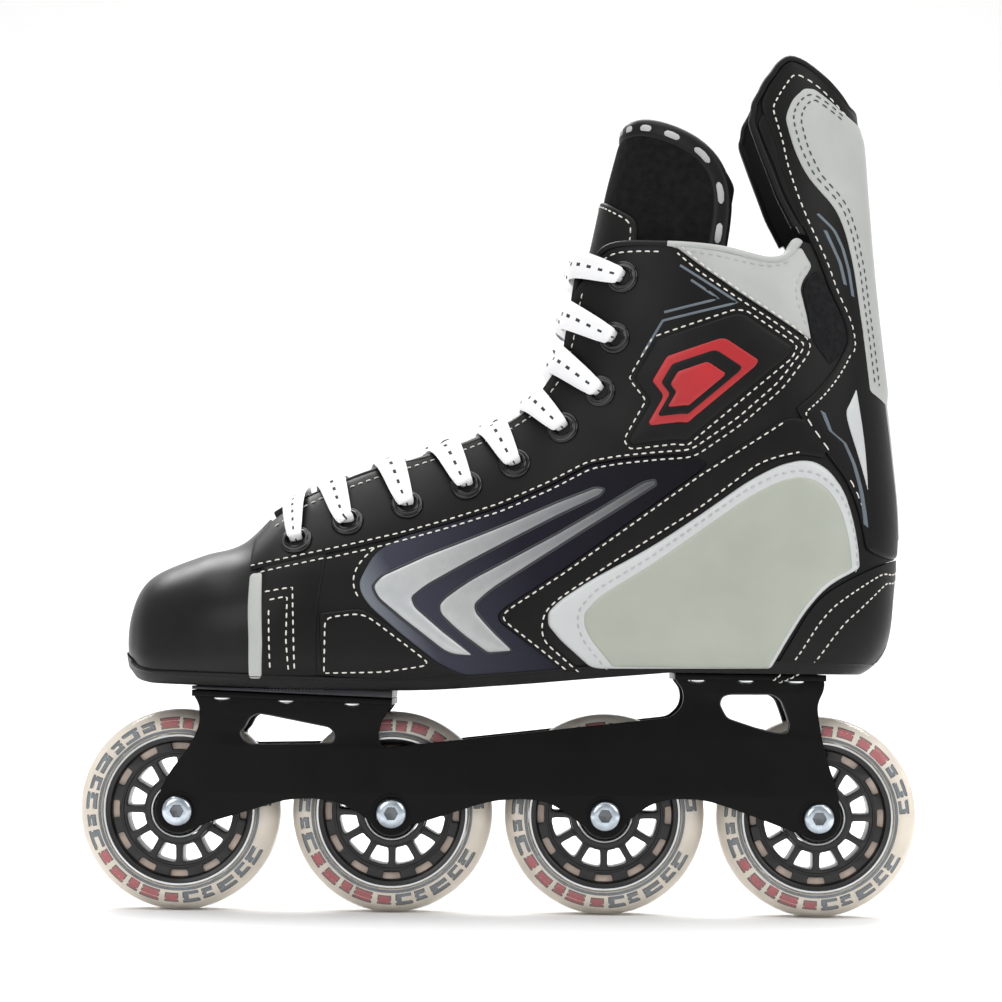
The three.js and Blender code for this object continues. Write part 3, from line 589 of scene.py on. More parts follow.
frame_parts = []
for low, high in ((-wall_outside, -wall_inside), (wall_inside, wall_outside)):
    wall = plate("wall", eased(wall_outline), [eased(front_window, 2), eased(rear_window, 2)],
                 low, high, anodised, 0.4)
    wall.data.materials.append(bare_edge)
    for face in wall.data.polygons:
        tilt = abs(face.normal.y)
        in_window = any(min(x for x, _ in hole) - 1 < face.center.x / mm < max(x for x,
                                                                               _ in hole) + 1
                        and min(z for _, z in hole) - 1 < face.center.z / mm
                        < max(z for _, z in hole) + 1 for hole in (front_window, rear_window))
        if 0.25 < tilt < 0.97 and in_window:
            face.material_index = 1
    frame_parts.append(wall)
for (x0, x1), z0, z1 in ((front_deck_x, front_deck_z, front_end_z),
                         (rear_deck_x, rear_deck_z, rear_deck_z)):
    section = [(x0, z0), (x1, z1), (x1, z1 - deck_thickness), (x0, z0 - deck_thickness)]
    frame_parts.append(plate("deck", section, [], -deck_half_width, deck_half_width, anodised, 0.5))
for x in axle_x:
    for side in (-1, 1):
        profile = [(4.0, side * 12.3), (7.6, side * 12.3), (8.0, side * 12.9), (8.0, side * 15),
                   (4.0, side * 15)]
        collar = lathe("collar", profile, anodised, 48)
        collar.data.transform(Matrix.Translation((x * mm, 0, axle_z * mm)))
        raised = lathe("raised", [(6.4, side * 16.8), (6.6, side * 17.15), (7.7, side * 17.15),
                                  (8.1, side * 16.8)], anodised, 48)
        raised.data.transform(Matrix.Translation((x * mm, 0, axle_z * mm)))
        frame_parts += [collar, raised]
alloy = joined("alloy_frame", frame_parts)
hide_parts("frame")
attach(alloy, "boot")

# ---------------------------------------------------------------- shim and rivets
# A ribbed black wedge levels the boot on the front deck. Twelve aluminium rivets with low domes
# hold the two decks to the sole, six to each.

shim_plastic = finish("shim_plastic", (0.02, 0.019, 0.026), 0.4, grain=0.0006, bump=0.12)
shim_low, shim_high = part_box("front_shim")
shim_outline = [(shim_low.x / mm, front_deck_z + 0.3), (shim_high.x / mm, front_end_z + 0.3),
                (shim_high.x / mm, shim_high.z / mm - 1.3),
                (shim_high.x / mm - 12, shim_high.z / mm - 1.0),
                (shim_low.x / mm + 30, shim_high.z / mm - 1.0),
                (shim_low.x / mm, shim_high.z / mm - 0.2)]
shim_parts = [plate("shim", shim_outline, [], -26.6, 26.6, shim_plastic, 0.4)]
for side in (-1, 1):
    for i in range(34):
        x = shim_low.x / mm + 6 + i * 1.35
        low, high = (26.3, 26.9) if side > 0 else (-26.9, -26.3)
        rib = plate("rib", [(x, front_deck_z + 0.2), (x + 0.7, front_deck_z + 0.2),
                            (x + 0.7, front_deck_z + 1.0), (x, front_deck_z + 1.0)],
                    [], low, high, shim_plastic, 0.12)
        shim_parts.append(rib)
shim = joined("ribbed_shim", shim_parts)
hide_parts("front_shim")
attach(shim, "boot")

bright_alloy = finish("bright_alloy", (0.78, 0.80, 0.82), 0.25, grain=0.0008, bump=0.1, metallic=1)
for row in ("front", "rear"):
    for i in range(1, 7):
        node = f"rivet_{row}_{i}"
        low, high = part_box(node)
        middle = (low + high) / 2
        profile = [(0.02, -1.3), (1.2, -1.25), (2.3, -1.0), (3.1, -0.6), (3.5, -0.15), (3.55, 0.1),
                   (3.5, 0.2), (0.02, 0.2)]
        rivet = lathe(f"dome_{row}_{i}", profile, bright_alloy, 28)
        turn = Matrix.Rotation(math.pi / 2, 4, "X")
        rivet.data.transform(Matrix.Translation((middle.x, middle.y, low.z + 1.3 * mm)) @ turn)
        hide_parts(node)
        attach(rivet, "boot")

# ---------------------------------------------------------------- boot shell
# The moulded shell of the boot: toe cap, two quarters and heel counter, cut from one skin that is
# lofted through sections from the toe tip to the top of the cuff. The edges are bound.

# Section: top x z, base x z, half width, share where widest, squareness of its two halves.
sections = np.array([
    (0, 20, 0, 16, 5, 0.5, 2, 2), (1.4, 29, 1.2, 8, 20, 0.55, 2.3, 2.4),
    (5.4, 39, 4.4, 1.5, 31, 0.58, 2.4, 2.8), (13, 45.5, 12, -2.2, 40, 0.62, 2.4, 3.2),
    (30, 52.3, 30, -3, 47.5, 0.62, 2.3, 3.6), (46, 57.5, 50, -3.3, 52, 0.64, 2.2, 3.8),
    (64, 74, 75, -3.7, 53, 0.66, 2, 4), (93, 90, 105, -4.4, 49.5, 0.66, 1.9, 4),
    (117, 98.5, 135, -3.2, 44.5, 0.64, 1.9, 4.4), (139, 107, 165, -0.6, 41, 0.6, 2, 5),
    (153.5, 115.5, 200, 2.3, 39.5, 0.55, 2.1, 5.6), (161.5, 126, 240, 4, 39.5, 0.5, 2.2, 6),
    (166, 137, 277, 4.5, 40, 0.5, 2.2, 5), (168, 147, 298.5, 15, 40.5, 0.5, 2.3, 3.6),
    (169.7, 157, 303.8, 42, 41, 0.5, 2.3, 2.8), (171.5, 167, 304.3, 68, 41.5, 0.5, 2.3, 2.5),
    (174, 178, 301.6, 96, 41, 0.5, 2.3, 2.4), (176.5, 190, 298.1, 124, 39.5, 0.5, 2.3, 2.4),
    (179, 202, 294.8, 150, 37, 0.5, 2.3, 2.4), (182, 214, 292.1, 174, 35, 0.5, 2.3, 2.4),
    (185.5, 227, 289.9, 198, 33, 0.5, 2.3, 2.4), (190, 241, 287.4, 223, 31.5, 0.5, 2.3, 2.4),
    (196, 262, 281, 258, 30, 0.5, 2.3, 2.4)])
last_station = len(sections) - 1
toe_tip_x, sole_z = -148.2, 89.0


def through(points, place):
    """Smooth line through rows of points, at places counted in rows."""
    padded = np.vstack([2 * points[0] - points[1], points, 2 * points[-1] - points[-2]])
    place = np.clip(np.asarray(place, float), 0, len(points) - 1)
    i = np.minimum(place.astype(int), len(points) - 2)
    t = (place - i)[..., None]
    a, b, c, d = (padded[i + k] for k in range(4))
    start, end = (c - a) / 2, (d - b) / 2
    return (b + start * t + (3 * (c - b) - 2 * start - end) * t ** 2
            + (2 * (b - c) + start + end) * t ** 3)


def bare_skin(station, angle):
    form = through(sections, station)
    across, along = np.sin(angle), np.cos(angle)
    square = np.where(along > 0, form[..., 6], form[..., 7])
    size = (np.abs(across) ** square + np.abs(along) ** square) ** (-1 / square)
    reach = np.where(along > 0, form[..., 5], 1 - form[..., 5])
    share = form[..., 5] - size * along * reach
    x = form[..., 0] + (form[..., 2] - form[..., 0]) * share + toe_tip_x
    z = form[..., 1] + (form[..., 3] - form[..., 1]) * share + sole_z
    swing = np.maximum(0, 1 - (x - toe_tip_x) / 60) ** 2
    return np.stack([x, form[..., 4] * size * across + 5 * swing, z], -1)


def skin_normal(station, angle):
    small = 0.004
    forward = (bare_skin(np.minimum(station + small, last_station), angle)
               - bare_skin(np.maximum(station - small, 0), angle))
    normal = np.cross(forward,
                      bare_skin(station, angle + small) - bare_skin(station, angle - small))
    return normal / np.maximum(np.linalg.norm(normal, axis=-1, keepdims=True), 1e-12)


def skin(station, angle, out=0.0):
    """Point of the boot's surface in metres, moved out by `out` millimetres."""
    station, angle = np.broadcast_arrays(np.asarray(station, float), np.asarray(angle, float))
    lift = np.asarray(out, float)[..., None]
    return (bare_skin(station, angle) + skin_normal(station, angle) * lift) * mm


ring_stations = np.concatenate([np.linspace(0.12, 5.9, 60), np.linspace(6.0, 11, 84),
                                np.linspace(11.1, last_station, 96)])


def skin_solid(name, out, sides=132, stations=ring_stations):
    angles = np.linspace(0, 2 * math.pi, sides, endpoint=False)
    rings = skin(stations[:, None], angles[None, :], out)
    count = len(stations)
    vertices = [*rings.reshape(-1, 3), rings[0].mean(0), rings[-1].mean(0)]
    faces = []
    for i in range(count - 1):
        for j in range(sides):
            n = (j + 1) % sides
            faces.append((i * sides + j, (i + 1) * sides + j, (i + 1) * sides + n, i * sides + n))
    for j in range(sides):
        n = (j + 1) % sides
        faces.append((count * sides, j, n))
        faces.append((count * sides + 1, (count - 1) * sides + n, (count - 1) * sides + j))
    return new_piece(name, vertices, faces)


def block(name, outline, low=-0.12, high=0.12):
    """A side-view outline in mm drawn out between two Y planes in metres; a tool for cutting."""
    flat = delaunay_2d_cdt([Vector(p) for p in outline], [], [list(range(len(outline)))], 1, 1e-7)
    count = len(flat[0])
    vertices = [(p.x * mm, y, p.y * mm) for y in (low, high) for p in flat[0]]
    faces = [tuple(f) for f in flat[2]] + [tuple(count + i for i in reversed(f)) for f in flat[2]]
    sides = {(f[i], f[(i + 1) % len(f)]) for f in flat[2] for i in range(len(f))}
    faces += [(b, a, count + a, count + b) for a, b in sides if (b, a) not in sides]
    return new_piece(name, vertices, faces)


def carve(piece, tool, operation):
    """Cuts a piece by a closed tool, which is used up."""
    modifier = piece.modifiers.new("carve", "BOOLEAN")
    modifier.operation = operation
    modifier.solver = "MANIFOLD"
    modifier.object = tool
    bpy.ops.object.select_all(action="DESELECT")
    piece.select_set(True)
    bpy.context.view_layer.objects.active = piece
    bpy.ops.object.modifier_apply(modifier="carve")
    bpy.data.objects.remove(tool)
    return piece


def copy_of(piece, name):
    twin = piece.copy()
    twin.data = piece.data.copy()
    twin.name = name
    bpy.context.scene.collection.objects.link(twin)
    return twin


def dress(piece, material, smooth=40):
    piece.data.materials.clear()
    piece.data.materials.append(material)
    finish_mesh(piece, smooth)
    return piece


def smooth_line(points, steps):
    points = np.array(points, float)
    return [tuple(p) for p in through(points, np.linspace(0, len(points) - 1, steps))]


far = 600  # how far the cutting tools reach past the boot
shell_inside = -3.4
toe_joint, quarter_start = -94.2, -93.9
sole_line = [(x + toe_tip_x, z + sole_z) for x, z in smooth_line(
    [(3, 6.5), (9, 2.2), (28, 1), (106, -0.3), (148, 2), (187, 5.5), (215, 8)], 60)] + [(176.5,
                                                                                         97.0)]
sole_line = [(sole_line[0][0] - 20, sole_line[0][1] + 14), *sole_line]
heel_seam = smooth_line([(104.8, 95), (112.5, 108.4), (120.1, 121.3), (127.8, 129.1),
                         (143.2, 137.5), (160.8, 144)], 30)
collar_line = smooth_line([(11.8, 237), (28.8, 241), (34.8, 256), (41.8, 263.3), (61.8, 263.5),
                           (83.5, 261.8), (101.8, 257.8), (109.8, 259.5), (114.8, 266)], 60)
guard_pivot = (147, 258)
guard_top = [(107.3, 282.5), (98, 305.9), (95.6, 311.7), (97, 319.6), (101.3, 328), (106.6, 335.4),
             (110.5, 338.4), (116.4, 336.4), (124.3, 331), (134.2, 320.5), (161.8, 317)]


def lifted(line, lift):
    return [(x, z + lift) for x, z in line]


black_leather = finish("black_leather", (0.0065, 0.006, 0.006), 0.42, grain=0.0011, bump=0.3,
                       depth=0.00012, mottle=0.25, specular=0.16, weave="leather")
cap_leather = finish("toe_cap_leather", (0.0075, 0.007, 0.007), 0.33, grain=0.0009, bump=0.14,
                     depth=0.0001, mottle=0.25, specular=0.2, weave="leather")
sole_rubber = finish("sole_rubber", (0.007, 0.0065, 0.0065), 0.45, grain=0.0012, bump=0.16,
                     mottle=0.3, specular=0.2)

outer_skin = skin_solid("outer_skin", 0.0)
shell = carve(copy_of(outer_skin, "shell"), skin_solid("inner_skin", shell_inside), "DIFFERENCE")
above_sole = [*lifted(sole_line, 4.6), (far, far), (-far, far)]
carve(shell, block("above_sole", above_sole), "INTERSECT")

toe_cap = carve(copy_of(shell, "toe_cap_shell"),
                block("ahead", [(toe_joint, -far), (toe_joint, far), (-far, far), (-far, -far)]),
                "INTERSECT")
dress(toe_cap, cap_leather)
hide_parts("toe_cap")
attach(toe_cap, "boot")

heel_area = [*heel_seam, (far, 144), (far, -far), (104.8, -far)]
heel_layer = carve(skin_solid("heel_layer", 0.9), skin_solid("inner_skin", shell_inside),
                   "DIFFERENCE")
carve(heel_layer, block("above_sole", above_sole), "INTERSECT")
heel_counter = carve(heel_layer, block("heel_area", heel_area), "INTERSECT")
heel_counter.name = "heel_counter_shell"
dress(heel_counter, black_leather)
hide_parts("heel_counter")
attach(heel_counter, "boot")

under_collar = [*collar_line, guard_pivot, (far, guard_pivot[1]), (far, -far), (-far, -far),
                (-far, collar_line[0][1])]
throat_line = [tuple(p[[0, 2]]) for p in bare_skin(np.linspace(5.6, last_station, 60),
                                                   np.zeros(60))]


def throat_block(half, inward):
    sides = []
    for i, (x, z) in enumerate(throat_line):
        ax, az = throat_line[max(i - 1, 0)]
        bx, bz = throat_line[min(i + 1, len(throat_line) - 1)]
        long = math.hypot(bx - ax, bz - az)
        nx, nz = -(bz - az) / long, (bx - ax) / long
        sides.append(((x + nx * 10, z + nz * 10), (x - nx * inward, z - nz * inward)))
    loop = [a for a, _ in sides] + [b for _, b in reversed(sides)]
    return block("throat", loop, -half * mm, half * mm)


quarters = carve(copy_of(shell, "quarters"),
                 block("behind", [(quarter_start, -far), (far, -far), (far, far),
                                  (quarter_start, far)]), "INTERSECT")
carve(quarters, block("under_collar", under_collar), "INTERSECT")
carve(quarters, block("heel_cut", [(x - 0.3, z + 0.3) for x, z in heel_area]), "DIFFERENCE")
carve(quarters, throat_block(19.5, 20), "DIFFERENCE")
for word, low, high in (("lateral", -0.12, -0.00015), ("medial", 0.00015, 0.12)):
    half = block("half", [(-far, -far), (far, -far), (far, far), (-far, far)], low, high)
    quarter = carve(copy_of(quarters, f"quarter_{word}_shell"), half, "INTERSECT")
    dress(quarter, black_leather)
    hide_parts(f"quarter_{word}")
    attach(quarter, "boot")
bpy.data.objects.remove(quarters)
bpy.data.objects.remove(shell)

outsole = skin_solid("outsole_plate", 0.7)
carve(outsole, block("sole_band", [*sole_line, *reversed(lifted(sole_line, 4.5))]), "INTERSECT")
dress(outsole, sole_rubber)
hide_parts("outsole")
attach(outsole, "boot")

# ---------------------------------------------------------------- layers of the upper
# Panels of leather, textile and foil are stitched over the shell, each with a rolled edge. Both
# sides of the boot carry the same panels.

tree_angles, wrap_radius = 180, 38  # wrap_radius: mm round the boot for one radian
tree_stations = np.concatenate([np.linspace(0.02, 5.9, 100), np.linspace(5.95, 11, 110),
                                np.linspace(11.05, last_station, 150)])
tree_rounds = np.linspace(0, 2 * math.pi, tree_angles, endpoint=False)[None, :]
tree_points = skin(tree_stations[:, None], tree_rounds, 0)
tree_normals = skin_normal(tree_stations[:, None] + np.zeros((1, tree_angles)),
                           tree_rounds + np.zeros((len(tree_stations), 1))).reshape(-1, 3)
tree_faces = [(i * tree_angles + j, (i + 1) * tree_angles + j,
               (i + 1) * tree_angles + (j + 1) % tree_angles,
               i * tree_angles + (j + 1) % tree_angles)
              for i in range(len(tree_stations) - 1) for j in range(tree_angles)]
tree_points = tree_points.reshape(-1, 3)
boot_tree = BVHTree.FromPolygons([tuple(p) for p in tree_points], tree_faces)


def on_side(side):
    """Lays side-view points in mm on one side of the boot: returns places and normals."""
    def lay(points):
        places, normals = [], []
        for x, z in points:
            hit = boot_tree.ray_cast((x * mm, side * 0.2, z * mm), (0, -side, 0))
            if hit[0] is None:
                hit = boot_tree.find_nearest((x * mm, side * 0.02, z * mm))
            ids = list(tree_faces[hit[2]])
            apart = ((tree_points[ids] - np.array(hit[0])) ** 2).sum(1)
            weight = 1 / (apart + 1e-9)
            normal = (tree_normals[ids] * weight[:, None]).sum(0)
            places.append(hit[0])
            normals.append(normal / np.linalg.norm(normal))
        return np.array(places, float), np.array(normals, float)
    return lay


back_stations = np.linspace(0, last_station, 900)
back_steps = np.diff(bare_skin(back_stations, np.full(900, math.pi)), axis=0)
back_run = np.concatenate([[0], np.cumsum(np.linalg.norm(back_steps, axis=1))])


def on_back(points):
    """Lays points given as mm round from the back centre line and mm of height along it."""
    points = np.array(points, float)
    station = np.interp(points[:, 1], back_run, back_stations)
    angle = math.pi + points[:, 0] / wrap_radius
    return skin(station, angle, 0), skin_normal(station, angle)


def locate(x, z):
    """Station and angle, from the back centre line, of a side-view point on the outer side."""
    hit = boot_tree.ray_cast((x * mm, -0.2, z * mm), (0, 1, 0))
    if hit[0] is None:
        hit = boot_tree.find_nearest((x * mm, -0.02, z * mm))
    i, j = divmod(tree_faces[hit[2]][0], tree_angles)
    s, a = float(tree_stations[i]), 2 * math.pi * j / tree_angles
    for _ in range(6):
        p = bare_skin(np.array([s, s + 0.01, s]), np.array([a, a, a + 0.01]))[:, [0, 2]]
        jacobian = np.stack([(p[1] - p[0]) / 0.01, (p[2] - p[0]) / 0.01], 1)
        step = np.linalg.lstsq(jacobian, np.array([x, z]) - p[0], rcond=None)[0]
        step = np.clip(step, -0.5, 0.5)
        s, a = min(max(s + step[0], 0.05), last_station), a + step[1]
    return s, a


def to_back(points):
    """Side-view points of the outer side as (mm round, mm of height) for on_back."""
    found = [locate(x, z) for x, z in points]
    return [((a - math.pi) * wrap_radius, float(np.interp(s, back_stations, back_run))) for s,
            a in found]


def back_centre(z):
    """The point of the back centre line at a height, for on_back."""
    stations = np.linspace(12, last_station, 400)
    heights = bare_skin(stations, np.full(400, math.pi))[:, 2]
    return (0.0, float(np.interp(np.interp(z, heights, stations), back_stations, back_run)))


def even_loop(points, step, closed=True):
    """The same line with points at even steps along it, its corners kept."""
    points = [np.array(p, float) for p in points]
    out = []
    for i in range(len(points) if closed else len(points) - 1):
        a, b = points[i], points[(i + 1) % len(points)]
        count = max(1, round(float(np.linalg.norm(b - a)) / step))
        out += [a + (b - a) * k / count for k in range(count)]
    if not closed:
        out.append(points[-1])
    return np.array(out)


def edge_distance(points, loop):
    """Signed distance of each point from a closed loop, positive inside."""
    a, b = loop, np.roll(loop, -1, 0)
    best = np.full(len(points), 1e9)
    inside = np.zeros(len(points), bool)
    for p, q in zip(a, b):
        d = q - p
        t = np.clip(((points - p) @ d) / max(d @ d, 1e-12), 0, 1)
        best = np.minimum(best, np.linalg.norm(points - p - t[:, None] * d, axis=1))
        crosses = (p[1] > points[:, 1]) != (q[1] > points[:, 1])
        with np.errstate(divide="ignore", invalid="ignore"):
            x = p[0] + (points[:, 1] - p[1]) * d[0] / d[1]
        inside ^= crosses & (points[:, 0] < x)
    return np.where(inside, best, -best)


cover = {-1: [], 1: []}  # the panels on each side, which the stitches lie on


def panel(name, outline, lay, base, height, material, edge=0.7, spacing=2.6, crown=0.0, cut=1.4,
          crown_width=7.0):
    """A thin layer with a rolled edge, laid on the boot `base` mm above its skin."""
    loop = even_loop(eased([tuple(p) for p in outline], cut), 1.3)
    area = np.sum(loop[:, 0] * np.roll(loop[:, 1], -1) - np.roll(loop[:, 0], -1) * loop[:, 1])
    if area < 0:
        loop = loop[::-1]
    ahead = np.roll(loop, -1, 0) - np.roll(loop, 1, 0)
    inward = np.stack([-ahead[:, 1], ahead[:, 0]], 1)
    inward /= np.maximum(np.linalg.norm(inward, axis=1, keepdims=True), 1e-9)
    inner = []
    for depth in (0.3 * edge, edge, edge + 1.3):
        ring = loop + inward * depth
        inner.append(ring[edge_distance(ring, loop) > 0.93 * depth])
    low, high = loop.min(0), loop.max(0)
    grid = np.array([(x + (0.5 * spacing if k % 2 else 0), z)
                     for k, z in enumerate(np.arange(low[1], high[1], spacing * 0.87))
                     for x in np.arange(low[0], high[0], spacing)])
    inner.append(grid[edge_distance(grid, loop) > edge + 1.3 + 0.4 * spacing])
    points = np.vstack([loop, *inner])
    flat = delaunay_2d_cdt([Vector(p) for p in points], [], [list(range(len(loop)))], 1, 1e-6)
    points = np.array([tuple(v) for v in flat[0]])
    inside = np.maximum(edge_distance(points, loop), 0)
    inside[inside < 0.02] = 0
    rise = np.sqrt(np.maximum(0, 1 - (1 - np.minimum(inside / edge, 1)) ** 2))
    puff = np.minimum(inside / crown_width, 1)
    top = base + height * rise + crown * puff * puff * (3 - 2 * puff)
    places, normals = lay(points)
    upper = places + normals * (top * mm)[:, None]
    lower = places + normals * ((base - 0.35) * mm)
    count = len(points)
    faces = [tuple(f) for f in flat[2]] + [tuple(count + i for i in reversed(f)) for f in flat[2]]
    edges = dict.fromkeys((f[i], f[(i + 1) % len(f)]) for f in flat[2] for i in range(len(f)))
    faces += [(b, a, count + a, count + b) for a, b in edges if (b, a) not in edges]
    return new_piece(name, [*upper, *lower], faces, material, 50)


def layer(name, outline, base, height, material, **shape):
    """The same panel on the outer and the inner side of the boot."""
    for side, word in ((-1, "lateral"), (1, "medial")):
        piece = panel(f"{name}_{word}", outline, on_side(side), base, height, material, **shape)
        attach(piece, "boot")
        cover[side].append(piece)


def along(material, low, high, colours, positions):
    """Makes a material's colour run through colours along the length of the skate."""
    tree = material.node_tree
    shader = tree.nodes["Principled BSDF"]
    ramp_old = shader.inputs["Base Color"].links[0].from_node
    place = tree.nodes.new("ShaderNodeTexCoord")
    split = tree.nodes.new("ShaderNodeSeparateXYZ")
    tree.links.new(place.outputs["Object"], split.inputs["Vector"])
    tilt = tree.nodes.new("ShaderNodeMath")
    tilt.operation = "MULTIPLY_ADD"
    tilt.inputs[1].default_value = 0.55
    tree.links.new(split.outputs["Z"], tilt.inputs[0])
    tree.links.new(split.outputs["X"], tilt.inputs[2])
    share = tree.nodes.new("ShaderNodeMapRange")
    share.inputs["From Min"].default_value = low * mm
    share.inputs["From Max"].default_value = high * mm
    tree.links.new(tilt.outputs["Value"], share.inputs["Value"])
    ramp = tree.nodes.new("ShaderNodeValToRGB")
    for i, (position, colour) in enumerate(zip(positions, colours)):
        element = ramp.color_ramp.elements[i] if i < 2 else ramp.color_ramp.elements.new(position)
        element.position, element.color = position, (*colour, 1)
    tree.links.new(share.outputs["Result"], ramp.inputs["Fac"])
    mix = tree.nodes.new("ShaderNodeMix")
    mix.data_type, mix.blend_type = "RGBA", "MULTIPLY"
    mix.inputs["Factor"].default_value = 1
    tree.links.new(ramp.outputs["Color"], mix.inputs["A"])
    tree.links.new(ramp_old.outputs["Color"], mix.inputs["B"])
    tree.links.new(mix.outputs["Result"], shader.inputs["Base Color"])


textile = finish("gradient_textile", (1, 1, 1), 0.55, grain=0.00055, bump=0.35, depth=0.00012,
                 mottle=0.08, mottle_size=0.001, specular=0.12, weave="twill")
along(textile, 15, 190, [(0.17, 0.185, 0.21), (0.036, 0.038, 0.055), (0.008, 0.007, 0.014),
                         (0.002, 0.002, 0.003)], [0.0, 0.1, 0.42, 1.0])
silver_foil = finish("silver_foil", (1, 1, 1), 0.34, grain=0.0006, bump=0.1, mottle=0.08,
                     mottle_size=0.004, metallic=0.25)
along(silver_foil, 15, 165, [(0.44, 0.46, 0.47), (0.42, 0.43, 0.43), (0.22, 0.225, 0.23),
                             (0.03, 0.03, 0.032)], [0.0, 0.18, 0.55, 1.0])
foil_edge = finish("foil_edge", (0.014, 0.014, 0.02), 0.4, grain=0.0006, bump=0.1)
smooth_black = finish("smooth_black_leather", (0.0055, 0.005, 0.005), 0.4, grain=0.0008, bump=0.2,
                      depth=0.0001, mottle=0.2, specular=0.16, weave="leather")
grey_leather = finish("light_grey_leather", (0.37, 0.38, 0.365), 0.45, grain=0.0009, bump=0.25,
                      depth=0.00012, mottle=0.06, weave="leather")
sage_plastic = finish("sage_plastic", (0.33, 0.35, 0.30), 0.34, grain=0.0012, bump=0.05,
                      mottle=0.05)
border_leather = finish("silver_white_leather", (0.47, 0.485, 0.485), 0.33, grain=0.0009, bump=0.22,
                        depth=0.00012, mottle=0.05, weave="leather")
velvet = finish("black_velvet", (0.008, 0.008, 0.009), 0.85, grain=0.0005, bump=0.4, depth=0.0002,
                mottle=0.4, mottle_size=0.002, specular=0.15)

facing_seam = [(-97, 134.3), (-77.7, 138.8), (-58.4, 143.3), (-39.1, 148.2), (-19.9, 153.9),
               (-0.6, 160.3), (18.7, 169.1), (28.3, 174.3), (34, 177.4), (45.6, 179.5),
               (61.1, 181.3),
               (73.5, 182.2), (76.5, 184.2), (91.9, 195.2), (107.2, 209), (117.8, 223.4),
               (117.8, 225.8), (106.9, 233.4), (91.3, 243.2), (75.6, 253.9), (67.8, 260.7),
               (64.5, 263)]
facing_edge = [(28.3, 247), (27.3, 243.2), (24.4, 225.5), (20.6, 213.6), (10.5, 199.7),
               (3.1, 194.8), (-12.2, 187.2), (-33.7, 179.8), (-52.2, 173.6), (-69.8, 166.7),
               (-79.6, 161.9),
               (-90.5, 153.5)]
collar_front = [(60, 263.2), (49.3, 263.2), (41.9, 262.6), (37, 258.8), (33.5, 253.5)]
seam_a = [(25.4, 96.8), (0, 115.8), (-0.8, 118.5), (1.9, 121.3), (23, 135.4), (76.6, 174.8),
          (91.9, 184.7), (109.1, 196.1)]
seam_b = [(32, 97.2), (17.5, 109.1), (16.7, 113.7), (17.8, 119.5), (23.1, 124.6), (46.1, 140.4),
          (76.8, 160.1), (99.8, 177.9), (107.5, 180.7), (115.2, 182.3), (124.9, 180.9)]

layer("chevron_textile", [
    (-39.1, 148.2), (-48.6, 141.8), (-52.6, 134.4), (-54.4, 130.2), (-53.4, 125.9), (-49.9, 121.0),
    (-38.2, 110.9), (-23, 98.9), (-15.2, 95), (-7.4, 94.6), (8, 95.9), (25.4, 97.6), *seam_a[1:6],
    (80, 178.5), (73.5, 181.5), (61.1, 181.2), (45.6, 179.4), (34, 177.3), (28.3, 174.2),
    (18.7, 169), (-0.6, 160.2), (-19.9, 153.8)], 0.05, 0.45, textile, crown=0.5)
arrow_one = [(-48.9, 128.6), (-45.9, 132.4), (-29.1, 140.4), (-12.3, 147.2), (4.6, 154.3),
             (21.4, 161.9), (36.6, 168.1), (39.8, 167.8), (38.3, 165.7), (21.4, 157.3),
             (4.6, 148.4),
             (-12.3, 139.2), (-29.1, 129.5), (-34.6, 124.9), (-33.3, 121.1), (-22.4, 111.8),
             (-10.6, 102.9), (-19.8, 103.4), (-37.5, 116.8), (-46.8, 124.4)]
arrow_two = [(-23.6, 121.9), (-21.5, 124.4), (-12.3, 131.2), (4.6, 140.4), (21.4, 149.7),
             (38.3, 159.8), (55.1, 170.3), (59.3, 171.4), (59.7, 169.9), (46.7, 161.5),
             (29.8, 150.6),
             (13, 139.6), (-3.8, 128.6), (-10.2, 122.7), (-9.7, 119.4), (-3.8, 112.7), (4.6, 104.9),
             (-4.7, 104.1), (-15.6, 111.8), (-22.8, 118.6)]


def grown(loop, by):
    loop = np.array(loop, float)
    area = np.sum(loop[:, 0] * np.roll(loop[:, 1], -1) - np.roll(loop[:, 0], -1) * loop[:, 1])
    a, b = loop - np.roll(loop, 1, 0), np.roll(loop, -1, 0) - loop
    turn = [v / np.maximum(np.linalg.norm(v, axis=1, keepdims=True), 1e-9) for v in (a, b)]
    out = np.stack([turn[0][:, 1] + turn[1][:, 1], -turn[0][:, 0] - turn[1][:, 0]], 1)
    out /= np.maximum(np.linalg.norm(out, axis=1, keepdims=True), 0.5)
    return [tuple(p) for p in loop + out * by * (1 if area > 0 else -1)]


for name, arrow in (("one", arrow_one), ("two", arrow_two)):
    layer(f"arrow_{name}_edge", grown(arrow, 1.0), 0.85, 0.35, foil_edge, edge=0.5, spacing=2.2)
    layer(f"arrow_{name}_foil", arrow, 1.15, 0.5, silver_foil, edge=0.9, spacing=2.2, crown=0.35,
          crown_width=3.5)

